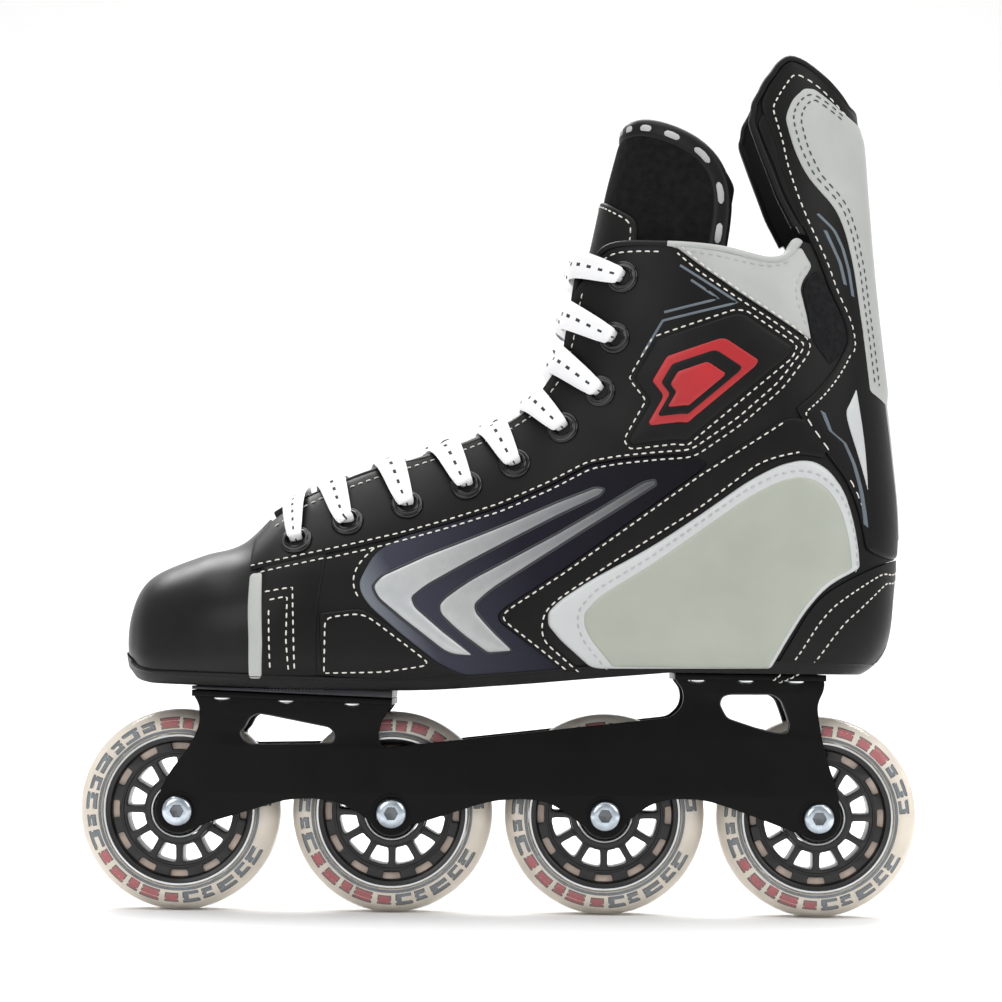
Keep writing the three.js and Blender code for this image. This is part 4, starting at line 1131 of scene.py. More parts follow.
layer("lower_panel",
      [(-69.2, 118), (-69.1, 108), (-67.6, 94.6), (-40, 92.8), (-21, 94.2), (-12, 95),
                      (-23, 98.9), (-50.3, 119), (-54.9, 120.1), (-67.7, 118.4)],
      0.4, 0.75, smooth_black, crown=0.3)
layer("toe_panel", [(-92.2, 136.0), (-77.7, 139.6), (-67, 142), (-70.5, 118), (-70, 94),
                    (-92.4, 93.6)], 0.05, 0.5, smooth_black, crown=0.2)
layer("side_band", [*seam_a, (118, 196.5), (128, 190), (124.9, 180.9), *reversed(seam_b[:-1])],
      0.3, 0.8, smooth_black, crown=0.25)
layer("facing", [*facing_seam, *collar_front, *facing_edge, (-96.6, 147)], 0.3, 0.8, smooth_black)
layer("toe_strip", [(-96.6, 132.5), (-91.8, 133.6), (-91.4, 120), (-90.9, 106), (-91.2, 93.2),
                    (-96.2, 93.2), (-96.3, 108), (-96.9, 120)], 0.2, 0.8, grey_leather, edge=0.4,
      spacing=2.0)

emblem = [(59.3, 225.8), (89.4, 236.2), (93.3, 235.9), (112, 223.8), (110.1, 220.2), (76.4, 191.2),
          (71.5, 186.8), (66.8, 187.2), (50.2, 185), (49, 186.9), (57, 201.4), (56.9, 203.7),
          (51, 211.3)]
layer("emblem_patch", emblem, 1.1, 0.8, black_leather, crown=0.6)

collar_grey = [(66, 262.6), (75.6, 255.4), (91.3, 244.7), (106.9, 234.9), (119.3, 226.9),
               (117.4, 236.8), (114.9, 246.5), (116.1, 250.4), (118, 253.2), (119.5, 256),
               (115.4, 263), (113.3, 262.6), (111, 259.8), (106, 257), (101.8, 256.9),
               (95.2, 258.3), (83.5, 260.8),
               (71.8, 262.6)]
layer("collar_panel", collar_grey, 0.4, 0.8, grey_leather, crown=1.0, crown_width=9)
layer("collar_velvet", [(119.5, 227), (127, 217.5), (133, 223.6), (134.4, 227.5), (132.8, 235.3),
                        (126.8, 246.9), (122, 255), (119, 252.5), (116.3, 249), (116, 246),
                        (118, 237)],
      0.1, 0.5, velvet, crown=0.6)

# ---------------------------------------------------------------- side badge
# A moulded sage plate set in a padded silver-white leather border that is stitched down. It
# stands on both sides of the heel.

badge_outer = [(38.9, 98.4), (35.1, 99), (23.3, 109.2), (18.6, 114.9), (18.5, 119.9), (23.1, 124.7),
               (34.6, 132.5), (57.7, 145.2), (76.9, 158.3), (96.1, 172.1), (107.6, 178),
               (115.3, 180),
               (121.1, 179.7), (127, 176.3), (132.9, 168.7), (136.9, 157.1), (139, 145.5),
               (139.4, 138.4), (127, 131.6), (118.6, 122), (111, 109.2), (105.6, 99.4)]
badge_inner = [(43.5, 99.6), (34.9, 109.3), (32.1, 115.1), (32.4, 120.1), (38.5, 126.8),
               (57.7, 138.6), (76.9, 152.4), (96.1, 166.2), (107.6, 172.2), (115.3, 173.8),
               (121.1, 172.7), (127, 168.5), (131.7, 160.9), (135, 149.3), (136, 138), (126, 132.6),
               (117.4, 122.6), (110, 110), (104.2, 99.8)]
for side, word in ((-1, "lateral"), (1, "medial")):
    border = panel(f"badge_border_{word}", badge_outer, on_side(side), 0.3, 1.1, border_leather,
                   edge=1.0, crown=0.5, crown_width=3)
    plate_piece = panel(f"badge_plate_{word}", badge_inner, on_side(side), 1.3, 0.9, sage_plastic,
                        edge=1.0, crown=0.5)
    for piece in (border, plate_piece):
        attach(piece, "boot")
        cover[side].append(piece)
    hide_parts(f"badge_{word}")

# ---------------------------------------------------------------- tendon guard
# The tall flexible guard at the back: a thin shell hinged on the heel by its covering, which wraps
# the back of the boot in black leather with a light grey panel and a grey strip down the heel.

guard_low = [(114.8, 269.1), (guard_pivot[0], 258.3), (164, 258.3)]
guard_shell = carve(copy_of(outer_skin, "guard_shell"), skin_solid("inner_skin", -3.0),
                    "DIFFERENCE")
carve(guard_shell, block("guard_area", [*guard_low, *reversed(smooth_line(guard_top, 60))]),
      "INTERSECT")
dress(guard_shell, smooth_black)
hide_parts("tendon_guard")
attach(guard_shell, "guard")

guard_seam = [(99.4, 318.6), (104.6, 305.1), (106.7, 295.3), (110.7, 283.7), (114.8, 274),
              (122.8, 257.8), (126.8, 246.9), (132.8, 235.3), (134.4, 227.5), (132.9, 223.6),
              (113.4, 200), (115.8, 196.1), (125.7, 182.6), (133.6, 173), (138.8, 161.3),
              (142.2, 141.9)]


def round_back(top, side_line, low):
    """A panel round the back, the same on both sides, from side-view points of the outer side."""
    half = to_back(side_line)
    return [back_centre(top), *half, back_centre(low), *[(-u, v) for u, v in reversed(half)]]


wrap = round_back(317.4, [(133.6, 320), (124, 330), (116.4, 335), (110.6, 336.8), (107.2, 334.4),
                          (102.2, 327), (98.2, 319.2), *guard_seam[1:-1], (142.2, 146)], 147.5)
back_cover = panel("back_cover", wrap, on_back, 0.4, 0.9, smooth_black, crown=0.3)
grey_back = panel("guard_grey_panel", round_back(
    313.5, [(133, 315.8), (119.6, 326), (115.6, 326), (111.2, 321.6), (109.4, 317.4),
            (108.3, 313.5), (111.6, 301.9), (117.2, 290.2), (128.7, 278.6), (132.7, 268.9),
            (136, 255.3), (139.5, 231.9), (142.6, 208)], 203), on_back, 1.2, 0.8, grey_leather,
    crown=0.9)
back_strip = panel("heel_strip", [(-12, back_centre(206)[1]), (12, back_centre(206)[1]),
                                  (8, back_centre(150)[1]), (-8, back_centre(150)[1])],
                   on_back, 1.1, 0.8, grey_leather)
flap_line = to_back([(97.4, 311.9), (99.4, 306.6), (104.4, 295), (108.6, 283.4), (115.4, 271.6),
                     (118, 271.2), (114.6, 281), (110.2, 292), (106.6, 304), (101.6, 317.4)])
front_flap = [panel(f"guard_flap_{word}", [(sense * u, v) for u, v in flap_line], on_back, 0.2, 0.6,
                    black_leather) for word, sense in (("lateral", 1), ("medial", -1))]
for piece in (back_cover, grey_back):
    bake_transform(piece)
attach(back_strip, "boot")
for piece in front_flap:
    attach(piece, "guard")
for side in (-1, 1):
    cover[side] += [back_cover, grey_back, back_strip]


def ribbon(name, points, ups, widths, thicknesses, material, sides=10, square=3.0, parts=8):
    """A soft strip swept through points, its width across `ups` and its edges round."""
    points, ups = np.array(points, float), np.array(ups, float)
    place = np.linspace(0, len(points) - 1, (len(points) - 1) * parts + 1)
    path = through(points, place)
    up = through(ups, place)
    wide = np.interp(place, np.linspace(0, len(points) - 1, len(widths)), widths)
    thick = np.interp(place, np.linspace(0, len(points) - 1, len(thicknesses)), thicknesses)
    ahead = np.gradient(path, axis=0)
    ahead /= np.maximum(np.linalg.norm(ahead, axis=1, keepdims=True), 1e-12)
    up = up - ahead * (up * ahead).sum(1, keepdims=True)
    up /= np.maximum(np.linalg.norm(up, axis=1, keepdims=True), 1e-9)
    across = np.cross(ahead, up)
    turn = np.linspace(0, 2 * math.pi, sides, endpoint=False)
    c, s = np.cos(turn), np.sin(turn)
    round_c = np.sign(c) * np.abs(c) ** (2 / square)
    round_s = np.sign(s) * np.abs(s) ** (2 / square)
    rings = (path[:, None] + across[:, None] * (round_c[None, :, None] * wide[:, None, None] / 2)
             + up[:, None] * (round_s[None, :, None] * thick[:, None, None] / 2))
    count = len(path)
    vertices = [tuple(p) for p in rings.reshape(-1, 3)]
    faces = []
    for i in range(count - 1):
        n = i + 1
        for j in range(sides):
            k = (j + 1) % sides
            faces.append((i * sides + j, i * sides + k, n * sides + k, n * sides + j))
    faces.append(tuple(range(sides))[::-1])
    faces.append(tuple((count - 1) * sides + j for j in range(sides)))
    mesh = bpy.data.meshes.new(name)
    mesh.from_pydata(vertices, [], faces)
    layer_uv = mesh.uv_layers.new(name="strip")
    run = np.concatenate([[0], np.cumsum(np.linalg.norm(np.diff(path, axis=0), axis=1))])
    for polygon in mesh.polygons:
        for corner in polygon.loop_indices:
            vertex = mesh.loops[corner].vertex_index
            layer_uv.data[corner].uv = (0.5 + 0.5 * round_c[vertex % sides],
                                        run[vertex // sides] * 10)
    obj = bpy.data.objects.new(name, mesh)
    bpy.context.scene.collection.objects.link(obj)
    mesh.materials.append(material)
    finish_mesh(obj, 60)
    return obj


edge_leather = finish("edge_binding", (0.006, 0.0055, 0.0055), 0.38, grain=0.0009, bump=0.25,
                      depth=0.00012, mottle=0.2, specular=0.18, weave="leather")

guard_rim = to_back([(113.2, 271.5), (107.3, 282.5), (102.6, 294.2), (98, 305.9), (95.9, 311.9),
                     (97, 319.6), (101.3, 328), (106.6, 335.2), (110.5, 337.6), (116.4, 335.9),
                     (124.3, 330.6), (134.2, 320.8)])
guard_rim = guard_rim + [back_centre(317.6)] + [(-u, v) for u, v in reversed(guard_rim)]
rim_at, rim_up = on_back(even_loop(guard_rim, 6, closed=False))
guard_binding = ribbon("guard_binding", rim_at - rim_up * 1.0 * mm, rim_up, [2.8 * mm] * 2,
                       [5.0 * mm] * 2, edge_leather, sides=14, square=2.4, parts=3)
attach(guard_binding, "guard")

# ---------------------------------------------------------------- seams
# Waxed thread, cream on the black leather and dark on the grey: each stitch is a short rounded
# length of thread that dips into the panel at both ends.

cream_thread = finish("cream_thread", (0.62, 0.60, 0.55), 0.6, grain=0.0004, bump=0.2, mottle=0.06)
dark_thread = finish("dark_thread", (0.03, 0.035, 0.045), 0.6, grain=0.0004, bump=0.2)
silver_thread = finish("silver_thread", (0.36, 0.365, 0.37), 0.6, grain=0.0004, bump=0.2)


def tree_of(objects):
    vertices, faces = [], []
    for obj in objects:
        start = len(vertices)
        vertices += [v.co[:] for v in obj.data.vertices]
        faces += [tuple(start + i for i in p.vertices) for p in obj.data.polygons]
    return BVHTree.FromPolygons(vertices, faces)


top_tree = {side: tree_of(cover[side]) for side in (-1, 1)}


def stitches(name, line, lay, tree, material, aside=0.0, pitch=3.3, length=2.5, width=0.62,
             smooth=True, flat=0.36):
    """A row of stitches along a line, `aside` mm to its left, on top of whatever lies there."""
    line = even_loop(line, 1.5, closed=False)
    if smooth and len(line) > 4:
        for _ in range(4):
            line[1:-1] = (line[:-2] + 2 * line[1:-1] + line[2:]) / 4
    ahead = np.gradient(line, axis=0)
    ahead /= np.maximum(np.linalg.norm(ahead, axis=1, keepdims=True), 1e-9)
    line = line + np.stack([-ahead[:, 1], ahead[:, 0]], 1) * aside
    run = np.concatenate([[0], np.cumsum(np.linalg.norm(np.diff(line, axis=0), axis=1))])
    middles = np.arange(pitch / 2, run[-1], pitch)
    ends = np.stack([middles - length / 2, middles, middles + length / 2], 1).ravel()
    spots = np.stack([np.interp(ends, run, line[:, 0]), np.interp(ends, run, line[:, 1])], 1)
    places, normals = lay(spots)
    for i, (place, normal) in enumerate(zip(places, normals)):
        hit = tree.ray_cast(Vector(place + normal * 6 * mm), Vector(-normal), 9 * mm)
        if hit[0] is not None:
            places[i] = hit[0]
    vertices, faces = [], []
    sides = 6
    turn = np.linspace(0, 2 * math.pi, sides, endpoint=False)
    for k in range(0, len(places), 3):
        a, m, b = places[k:k + 3]
        up = normals[k + 1]
        way = b - a
        if not 0.5 * length * mm < np.linalg.norm(way) < 1.8 * length * mm:
            continue
        way /= np.linalg.norm(way)
        side = np.cross(way, up)
        start = len(vertices)
        for share, size, sink in ((0.0, 0.35, -0.35), (0.2, 0.9, 0.08), (0.5, 1.0, 0.2),
                                  (0.8, 0.9, 0.08), (1.0, 0.35, -0.35)):
            middle = a + (b - a) * share + (m - (a + b) / 2) * (1 - abs(2 * share - 1))
            middle = middle + up * sink * mm
            for t in turn:
                vertices.append(tuple(middle + (side * math.cos(t) * width / 2
                                                + up * math.sin(t) * width * flat) * size * mm))
        for ring in range(start, start + 4 * sides, sides):
            for j in range(sides):
                n = (j + 1) % sides
                faces.append((ring + j, ring + n, ring + sides + n, ring + sides + j))
        faces.append(tuple(start + j for j in range(sides))[::-1])
        faces.append(tuple(start + 4 * sides + j for j in range(sides)))
    return new_piece(name, vertices, faces, material, 60)


# Rows on the sides: the line, its thread and how far the row stands to the left of the line.
rows = {"facing_seam_low": (facing_seam[:-1], cream_thread, -1.7),
        "facing_seam_high": (facing_seam[:-1], cream_thread, 1.2),
        "facing_edge_seam": (list(reversed(facing_edge)), cream_thread, -3.4),
        "band_seam_a": (seam_a, cream_thread, -1.2),
        "band_seam_b": (seam_b[:-1], cream_thread, 0.8),
        "tip_seam": ([(-48.4, 144.2), (-52.8, 140.0), (-55.6, 136.2), (-57.0, 131.6),
                      (-56.2, 126.9),
                      (-53.6, 123.2)], cream_thread, 0),
        "box_outer": ([(-91.0, 125.9), (-79.8, 127.9), (-79.3, 115.6), (-78.6, 96.4)], cream_thread,
                      0),
        "box_inner": ([(-89.1, 122.8), (-81.7, 124.4), (-81.9, 107.8), (-80.9, 96.4)], cream_thread,
                      0),
        "box_left": ([(-88.7, 119.7), (-88.4, 107.7), (-87.9, 96.0)], cream_thread, 0),
        "lower_seam": ([(-67.4, 95.5), (-67.2, 108), (-67.3, 116.4), (-54.9, 118.2), (-50.9, 117.2),
                        (-26.5, 99.2), (-45, 96.4), (-67.0, 95.8)], cream_thread, 0),
        "badge_seam": (grown(badge_inner, 2.4)[:15], silver_thread, 0),
        "facing_top_seam": ([(35.2, 251.5), (37.6, 257.2), (43.2, 260.4), (52, 260.7), (61, 260.3)],
                            cream_thread, 0),
        "collar_seam": ([(68.5, 261.2), (84, 258.6), (96, 255.9), (104, 255), (110.5, 257.5)],
                        silver_thread, 0),
        "collar_side": ([(117.2, 232), (114.2, 239), (112.6, 246), (113.5, 250.6), (116.2, 254.4),
                         (117.6, 256.4)], silver_thread, 0),
        "emblem_seam": ([*emblem, emblem[0]], cream_thread, 1.6)}
for name, (line, thread, aside) in rows.items():
    for side, word in ((-1, "lateral"), (1, "medial")):
        row = stitches(f"{name}_{word}", line, on_side(side), top_tree[side], thread, aside,
                       smooth=not name.startswith(("box", "emblem")))
        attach(row, "boot")

back_tree = tree_of([back_cover, grey_back, back_strip, *front_flap])
grey_line = [(131.5, 317.2), (119.4, 325.4), (115.6, 325.4), (111.4, 321.4), (109.4, 317.4),
             (108.9, 313.5), (111.9, 302.5), (117.7, 291), (129.2, 279.4), (133.2, 269.4),
             (136.5, 255.7), (139.9, 232.2), (142.6, 212)]
back_rows = {"guard_seam_one": ([(133, 317.6), (123.5, 327.5), (116.2, 332.2), (110.8, 333.8),
                                 (108.6, 332), (104, 325.2), (100.4, 318.4), *guard_seam[1:10]],
                                cream_thread, 2.2),
             "guard_seam_two": (guard_seam[9:-1], cream_thread, 1.6),
             "grey_seam_one": (grey_line, dark_thread, 1.8),
             "grey_seam_two": (grey_line, dark_thread, 4.0)}
for name, (line, thread, aside) in back_rows.items():
    flat_line = np.array(to_back(line))
    for sense, word in ((1, "lateral"), (-1, "medial")):
        row = stitches(f"{name}_{word}", flat_line * [sense, 1], on_back, back_tree, thread,
                       -aside * sense)
        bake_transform(row)

heel_flat = np.array([*to_back(heel_seam[:-4]), (0, back_centre(143.6)[1])])
heel_tree = tree_of([heel_counter])
for k, down in enumerate((2.0, 5.0)):
    for sense, word in ((1, "lateral"), (-1, "medial")):
        row = stitches(f"heel_seam_{k + 1}_{word}", heel_flat * [sense, 1], on_back, heel_tree,
                       cream_thread, down * sense)
        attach(row, "boot")

# Plain printed lines, and nested plain outlines on the ankle patch, take the place of marks.
blue_grey = finish("blue_grey_print", (0.10, 0.125, 0.15), 0.45, grain=0.0006, bump=0.06)
red_print = finish("red_print", (0.36, 0.008, 0.012), 0.38, grain=0.0006, bump=0.06)


def strip_outline(line, width):
    line = even_loop(line, 3, closed=False)
    ahead = np.gradient(line, axis=0)
    ahead /= np.maximum(np.linalg.norm(ahead, axis=1, keepdims=True), 1e-9)
    beside = np.stack([-ahead[:, 1], ahead[:, 0]], 1) * width / 2
    return [tuple(p) for p in [*(line + beside), *(line - beside)[::-1]]]


for name, line in (("high", [(72.3, 249.3), (83.2, 242), (62.2, 236.6)]),
                   ("low", [(68.1, 255), (90.6, 240.6), (61.8, 233.4), (54.2, 220.2)])):
    layer(f"printed_line_{name}", strip_outline(line, 1.1), 0.9, 0.35, blue_grey, edge=0.3, cut=0.3,
          spacing=2)
emblem_middle = np.mean(emblem, 0)
for name, share, base, ink in (("outer", 0.66, 2.4, red_print),
                               ("middle", 0.5, 2.75, black_leather),
                               ("inner", 0.34, 3.1, red_print)):
    shape = [tuple(p) for p in emblem_middle + (np.array(emblem) - emblem_middle) * share]
    layer(f"emblem_{name}", shape, base, 0.45, ink, edge=0.4, cut=1.0, spacing=2.4)
for name, line in (("one", [(121.2, 276.6), (127.9, 270.5), (131.3, 263.6), (133.8, 255.1),
                            (135.5, 245)]),
                   ("two", [(124.2, 270.3), (127.5, 263.6), (130.3, 257.7), (132.4, 249.3)]),
                   ("three", [(123.7, 199), (126.8, 191.5), (132.4, 187), (136.2, 179),
                              (139.3, 168.3), (141.4, 155)])):
    for sense, word in ((1, "lateral"), (-1, "medial")):
        outline = strip_outline(np.array(to_back(line)) * [sense, 1], 1.3)
        piece = panel(f"guard_line_{name}_{word}", outline, on_back, 1.5, 0.35, blue_grey, edge=0.3,
                      cut=0.3, spacing=2)
        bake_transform(piece)
wedge = [(132.6, 199.4), (136.9, 208.5), (140.3, 189), (142, 168), (138.3, 180.7), (134.1, 193.2)]
for sense, word in ((1, "lateral"), (-1, "medial")):
    outline = [tuple(p) for p in np.array(to_back(wedge)) * [sense, 1]]
    piece = panel(f"guard_wedge_{word}", outline, on_back, 1.5, 0.4, border_leather, edge=0.4,
                  cut=0.8, spacing=2)
    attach(piece, "boot")

# ---------------------------------------------------------------- edge bindings
# The throat and the collar are bound with rolled leather, and a welt hides the joint of the sole.
# Each binding is one soft strip swept along its edge.


def edge_angle(station, half):
    """Angle from the top line at which the skin is `half` mm from the middle plane."""
    angles = np.linspace(0, 1.5, 160)
    ys = bare_skin(np.full(160, float(station)), angles)[:, 1] - bare_skin(station, 0.0)[1]
    return float(np.interp(half, np.maximum.accumulate(ys), angles))


throat_stations = np.linspace(5.75, 15.8, 40)
throat_angles = np.array([edge_angle(s, 19.6) for s in throat_stations])
throat_angles[:3] *= (0.55, 0.8, 0.95)
for side, word in ((-1, "lateral"), (1, "medial")):
    at = skin(throat_stations, throat_angles * side, -1.2)
    up = skin_normal(throat_stations, throat_angles * side)
    piece = ribbon(f"throat_binding_{word}", at, up, [3.0 * mm] * 2, [5.0 * mm] * 2, edge_leather,
                   sides=12, square=2.3, parts=3)
    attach(piece, "boot")
    split = next(i for i, (x, _) in enumerate(collar_line) if x > 63)
    for part, line, leather in (("front", collar_line[18:split + 1], edge_leather),
                                ("rear", collar_line[split:], grey_leather)):
        at, up = on_side(side)(even_loop(line, 4, closed=False))
        piece = ribbon(f"collar_binding_{part}_{word}", at - up * 3.4 * mm, up, [3.8 * mm] * 2,
                       [9.8 * mm] * 2, leather, sides=14, square=2.5, parts=3)
        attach(piece, "boot")
    line = even_loop(lifted(sole_line[4:], 4.7), 5, closed=False)
    at, up = on_side(side)(line)
    piece = ribbon(f"sole_welt_{word}", at + up * 0.4 * mm, up, [1.5 * mm] * 2, [1.3 * mm] * 2,
                   sole_rubber, sides=8, square=2, parts=2)
    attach(piece, "boot")

# ---------------------------------------------------------------- padded lining and insole
# A foam-backed textile lining and a loose footbed, cut from the same skin as the shell so that
# they lie inside it.

lining_cloth = finish("lining_cloth", (0.02, 0.02, 0.023), 0.8, grain=0.0007, bump=0.4,
                      depth=0.0002,
                      mottle=0.2, weave="twill")
lining_stations = ring_stations[ring_stations > 2.4]
lining_sides = 120
lining_outside, lining_inside, footbed_edge = -3.9, -8.5, -8.9
lining = skin_solid("lining", lining_outside, lining_sides, lining_stations)
carve(lining, skin_solid("lining_room", lining_inside, lining_sides, lining_stations), "DIFFERENCE")
carve(lining, block("behind_toe", [(-74, -far), (far, -far), (far, far), (-74, far)]), "INTERSECT")
carve(lining, block("under_collar", [*lifted(collar_line, -0.8), (147, 257), (far, 257),
                                     (far, -far), (-far, -far), (-far, 236)]), "INTERSECT")
carve(lining, throat_block(30, 20), "DIFFERENCE")
carve(lining, block("above_insole", [*lifted(sole_line, 4.9), (far, far), (-far, far)]),
      "INTERSECT")
dress(lining, lining_cloth)
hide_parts("liner")
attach(lining, "boot")

footbed_low, footbed_high = lifted(sole_line, 5.0), lifted(sole_line, 8.8)
footbed = carve(skin_solid("footbed", footbed_edge, lining_sides, lining_stations),
                block("footbed_band", [*footbed_low, *reversed(footbed_high)]), "INTERSECT")
dress(footbed, lining_cloth)
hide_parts("insole")
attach(footbed, "boot")

# ---------------------------------------------------------------- tongue
# Two pads of black felt over foam: the fixed one under the laces and the tall free one above,
# which has a thick bound edge. A leather patch is sewn across the front of both.

felt = finish("black_felt", (0.006, 0.0055, 0.0055), 0.9, grain=0.0009, bump=0.5, depth=0.00035,
              mottle=0.45, mottle_size=0.003, specular=0.12)
tongue_out, row_height = -9.4, 12  # row_height: mm along the tongue for one section


def on_tongue(out):
    def lay(points):
        points = np.array(points, float)
        station, angle = points[:, 1] / row_height, points[:, 0] / wrap_radius
        return skin(station, angle, out), skin_normal(station, angle)
    return lay


base_rows = np.linspace(5.5, 16.15, 32)
base_degrees = np.interp(base_rows, [5.9, 8, 11, 14, 16.2], [38, 40, 44, 48, 52])
base_half = base_degrees * math.pi / 180 * wrap_radius
base_outline = [(u, s * row_height) for u, s in zip(base_half, base_rows)]
base_outline += [(-u, v) for u, v in reversed(base_outline)]
tongue_pad = panel("tongue_pad", base_outline, on_tongue(tongue_out - 6), 0.3, 5.0, felt, edge=2.4,
                   spacing=3.6, crown=0.6, cut=3)
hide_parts("tongue_base")
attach(tongue_pad, "boot")

top_xs = [35, 43.6, 46, 49.6, 55.1, 65.1, 77.2, 84.4, 89.0, 92.5]
top_zs = [303, 304.6, 308.6, 312.6, 314.2, 312, 306.4, 301.2, 293.5, 282]
search = np.linspace(16.6, last_station, 300)
tall_top = []
for degrees in np.linspace(0, 92, 31):
    spots = skin(search, math.radians(degrees), tongue_out - 3) / mm
    above = spots[:, 2] > np.interp(spots[:, 0], top_xs, top_zs)
    tall_top.append((math.radians(degrees) * wrap_radius,
                     float(search[int(np.argmax(above))]) * row_height))
tall_start = 16.5
tall_top = np.array(tall_top)
for _ in range(6):
    tall_top[1:-1] = (tall_top[:-2] + 2 * tall_top[1:-1] + tall_top[2:]) / 4
    tall_top[0, 1] = tall_top[1, 1]
wing = [(math.radians(72) * wrap_radius, tall_start * row_height),
        (math.radians(88) * wrap_radius, (tall_start + 1.4) * row_height)]
tall_half = [*wing, *[tuple(p) for p in reversed(tall_top)]]
tall_outline = [*tall_half, *[(-u, v) for u, v in reversed(tall_half)][1:]]
tongue_tall = panel("tongue_tall", tall_outline, on_tongue(tongue_out - 7.4), 0.3, 6.4, felt,
                    edge=2.4, spacing=3.6, crown=0.7, cut=3)
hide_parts("tongue_top")
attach(tongue_tall, "tongue")
rim = even_loop(tall_half[1:] + [(-u, v) for u, v in reversed(tall_half[1:])][1:], 5, closed=False)
rim = np.array([(u * 0.955, v - 2.2) for u, v in rim])
for _ in range(5):
    rim[1:-1] = (rim[:-2] + 2 * rim[1:-1] + rim[2:]) / 4
rim_at, rim_up = on_tongue(tongue_out - 3.8)(rim)
tongue_binding = ribbon("tongue_binding", rim_at, rim_up, [8.6 * mm] * 2, [8.6 * mm] * 2,
                        edge_leather, sides=18, square=3.2, parts=3)
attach(tongue_binding, "tongue")
tongue_tree = tree_of([tongue_tall, tongue_binding])
half_rim = rim[:len(rim) // 2]
for sense, word in ((1, "medial"), (-1, "lateral")):
    row = stitches(f"tongue_dashes_{word}", half_rim * [sense, 1], on_tongue(tongue_out),
                   tongue_tree, silver_thread, 0, pitch=11, length=6.5, width=2.6, flat=0.16)
    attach(row, "tongue")
patch_low, patch_high, patch_half = 15.0 * row_height, 17.55 * row_height, 33
patch = panel("tongue_patch", [(-patch_half, patch_low), (patch_half, patch_low),
                               (patch_half, patch_high), (-patch_half, patch_high)],
              on_tongue(tongue_out), 0.45, 0.9, black_leather, cut=4)
row = stitches("patch_seam", [(-31, patch_low + 1), (-31, patch_high - 2), (31, patch_high - 2),
                              (31, patch_low + 1)], on_tongue(tongue_out), tree_of([patch]),
               cream_thread, 0)
for piece in (patch, row):
    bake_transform(piece)

# ---------------------------------------------------------------- eyelets
# Nine glossy black rings down each facing, rolled over the edge of a punched hole. Each is a
# profile turned about the line that stands square to the leather there.

enamel = finish("black_enamel", (0.003, 0.003, 0.003), 0.1, grain=0.002, bump=0.02, coat=0.15,
                specular=0.35)
eyelet_stations = [6.1, 6.75, 7.6, 8.55, 9.45, 10.75, 12.25, 14, 15.8]
eyelet_angle = math.radians(50)
eyelet_sides = 40
eyelet_profile = [(0.02, 0.7), (2.0, 0.7), (2.9, 0.9), (3.3, 1.6), (3.6, 2.4), (4.1, 2.8),
                  (4.7, 2.6), (5.0, 2.1), (5.4, 2.1), (5.9, 2.0), (6.3, 1.6), (6.45, 1.0),
                  (6.4, 0.4)]
for side, word in ((-1, "lateral"), (1, "medial")):
    for k, station in enumerate(eyelet_stations):
        place = skin(station, eyelet_angle * side, 0)
        up = skin_normal(np.array(station), np.array(eyelet_angle * side))
        first = np.cross(up, (0, 1, 0))
        first /= np.linalg.norm(first)
        second = np.cross(up, first)
        turn = np.linspace(0, 2 * math.pi, eyelet_sides, endpoint=False)
        vertices = [tuple(place + (up * h + (first * math.cos(t) + second * math.sin(t)) * r) * mm)
                    for r, h in eyelet_profile for t in turn]
        last_ring = (len(eyelet_profile) - 1) * eyelet_sides
        faces = []
        for start in range(0, last_ring, eyelet_sides):
            for j in range(eyelet_sides):
                n = (j + 1) % eyelet_sides
                faces.append((start + j, start + n, start + eyelet_sides + n,
                              start + eyelet_sides + j))
        faces.append(tuple(range(eyelet_sides)))
        faces.append(tuple(last_ring + j for j in range(eyelet_sides)))
        ring = new_piece(f"eyelet_{word}_{k + 1}", vertices, faces, enamel, 50)
        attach(ring, "boot")

# ---------------------------------------------------------------- lace
# One flat woven white lace with a dashed black line down its middle. It goes down through each
# eyelet, under the facing, and crosses to the next eyelet of the other side.

lace_cloth = finish("white_lace", (0.78, 0.78, 0.79), 0.7, grain=0.0005, bump=0.4, depth=0.0002,
                    mottle=0.05, weave="twill")
lace_tree = lace_cloth.node_tree
lace_shader = lace_tree.nodes["Principled BSDF"]
old_colour = lace_shader.inputs["Base Color"].links[0].from_node
strip = lace_tree.nodes.new("ShaderNodeUVMap")
strip.uv_map = "strip"
strip_place = lace_tree.nodes.new("ShaderNodeSeparateXYZ")
lace_tree.links.new(strip.outputs["UV"], strip_place.inputs["Vector"])


def sum_node(kind, first, second, third=None):
    """One step of arithmetic on sockets or numbers in the lace's material."""
    node = lace_tree.nodes.new("ShaderNodeMath")
    node.operation = kind
    for socket, value in zip(node.inputs, (first, second, third)):
        if isinstance(value, (int, float)):
            socket.default_value = value
        elif value is not None:
            lace_tree.links.new(value, socket)
    return node.outputs["Value"]


near_middle = sum_node("COMPARE", strip_place.outputs["X"], 0.5, 0.06)
run_of_dashes = sum_node("MULTIPLY", strip_place.outputs["Y"], 18)
dashed = sum_node("GREATER_THAN", sum_node("FRACT", run_of_dashes, 0), 0.62)
marks = sum_node("MULTIPLY", near_middle, dashed)
inked = lace_tree.nodes.new("ShaderNodeMix")
inked.data_type = "RGBA"
lace_tree.links.new(marks, inked.inputs["Factor"])
lace_tree.links.new(old_colour.outputs["Color"], inked.inputs["A"])
inked.inputs["B"].default_value = (0.015, 0.015, 0.02, 1)
lace_tree.links.new(inked.outputs["Result"], lace_shader.inputs["Base Color"])


def between(k, share):
    return eyelet_stations[k] + (eyelet_stations[k + 1] - eyelet_stations[k]) * share


def lace_point(station, angle, out):
    return skin(station, angle, out), skin_normal(np.array(station, float), np.array(angle, float))


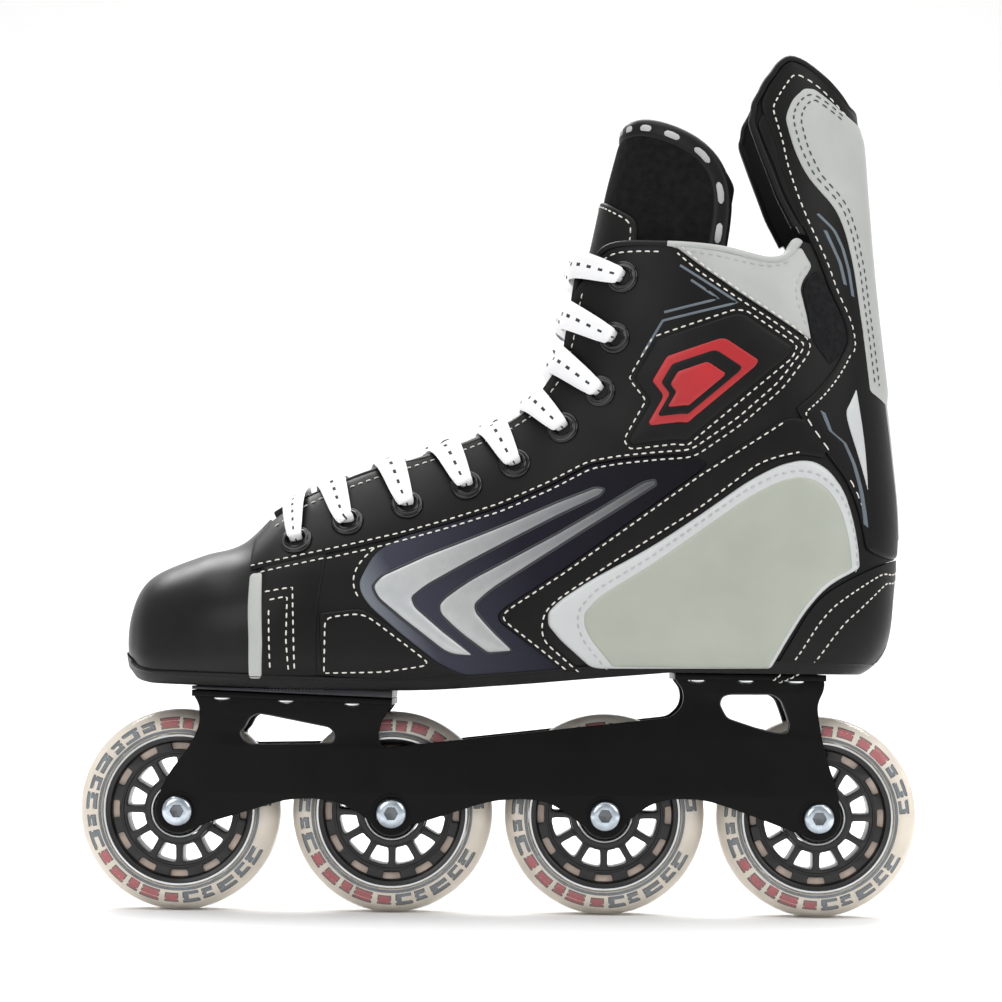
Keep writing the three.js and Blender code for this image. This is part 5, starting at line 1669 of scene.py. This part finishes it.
def across_from(station, angle):
    step = bare_skin(station, angle + 0.01) - bare_skin(station, angle - 0.01)
    return step / np.linalg.norm(step)


def lace_end(station, side, out):
    """Going down through an eyelet: the lace turns its face outward from the middle."""
    angle = (eyelet_angle - 0.012) * side
    return skin(station, angle, out), across_from(station, angle) * side


strands = []
for k in range(8):
    for start in (-1, 1):
        points, ups = [], []
        leave = lace_point(between(k, 0.02), eyelet_angle * start, -6.0)
        edge = between(k, 0.25)
        under = lace_point(edge, start * edge_angle(edge, 17), -6.3)
        middle = lace_point(between(k, 0.5), 0, (4.1 if start > 0 else 7.7) + tongue_out)
        edge = between(k, 0.78)
        over = lace_point(edge, -start * edge_angle(edge, 20), 3.9)
        stop = eyelet_stations[k + 1]
        near = lace_point(stop - 0.05, -start * (eyelet_angle - 0.05), 4.3)
        hole = lace_end(stop, -start, 2.2)
        gone = lace_end(stop, -start, -3.5)
        for place, up in (leave, under, middle, over, near, hole, gone):
            points.append(place)
            ups.append(up)
        strands.append(ribbon(f"strand_{k}_{start}", points, ups,
                              np.array([6, 9, 10.5, 12, 7.6, 5.4, 4.6]) * mm,
                              np.array([1.3, 1.3, 1.3, 1.3, 1.5, 2.0, 2.0]) * mm, lace_cloth))
bar = [lace_end(eyelet_stations[0], -1, -3.5), lace_end(eyelet_stations[0], -1, 2.2),
       lace_point(eyelet_stations[0], -eyelet_angle + 0.06, 4.3), lace_point(6.12, -0.45, 3.2),
       lace_point(6.15, 0, 1.2), lace_point(6.12, 0.45, 3.2),
       lace_point(eyelet_stations[0], eyelet_angle - 0.06, 4.3),
       lace_end(eyelet_stations[0], 1, 2.2),
       lace_end(eyelet_stations[0], 1, -3.5)]
strands.append(ribbon("strand_first", [p for p, _ in bar], [u for _, u in bar],
                      np.array([4.6, 5, 6.2, 9.5, 10, 9.5, 6.2, 5, 4.6]) * mm, [1.4 * mm] * 2,
                      lace_cloth))
lace = joined("flat_lace", strands)
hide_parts("lace")
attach(lace, "boot")

bpy.data.objects.remove(outer_skin)
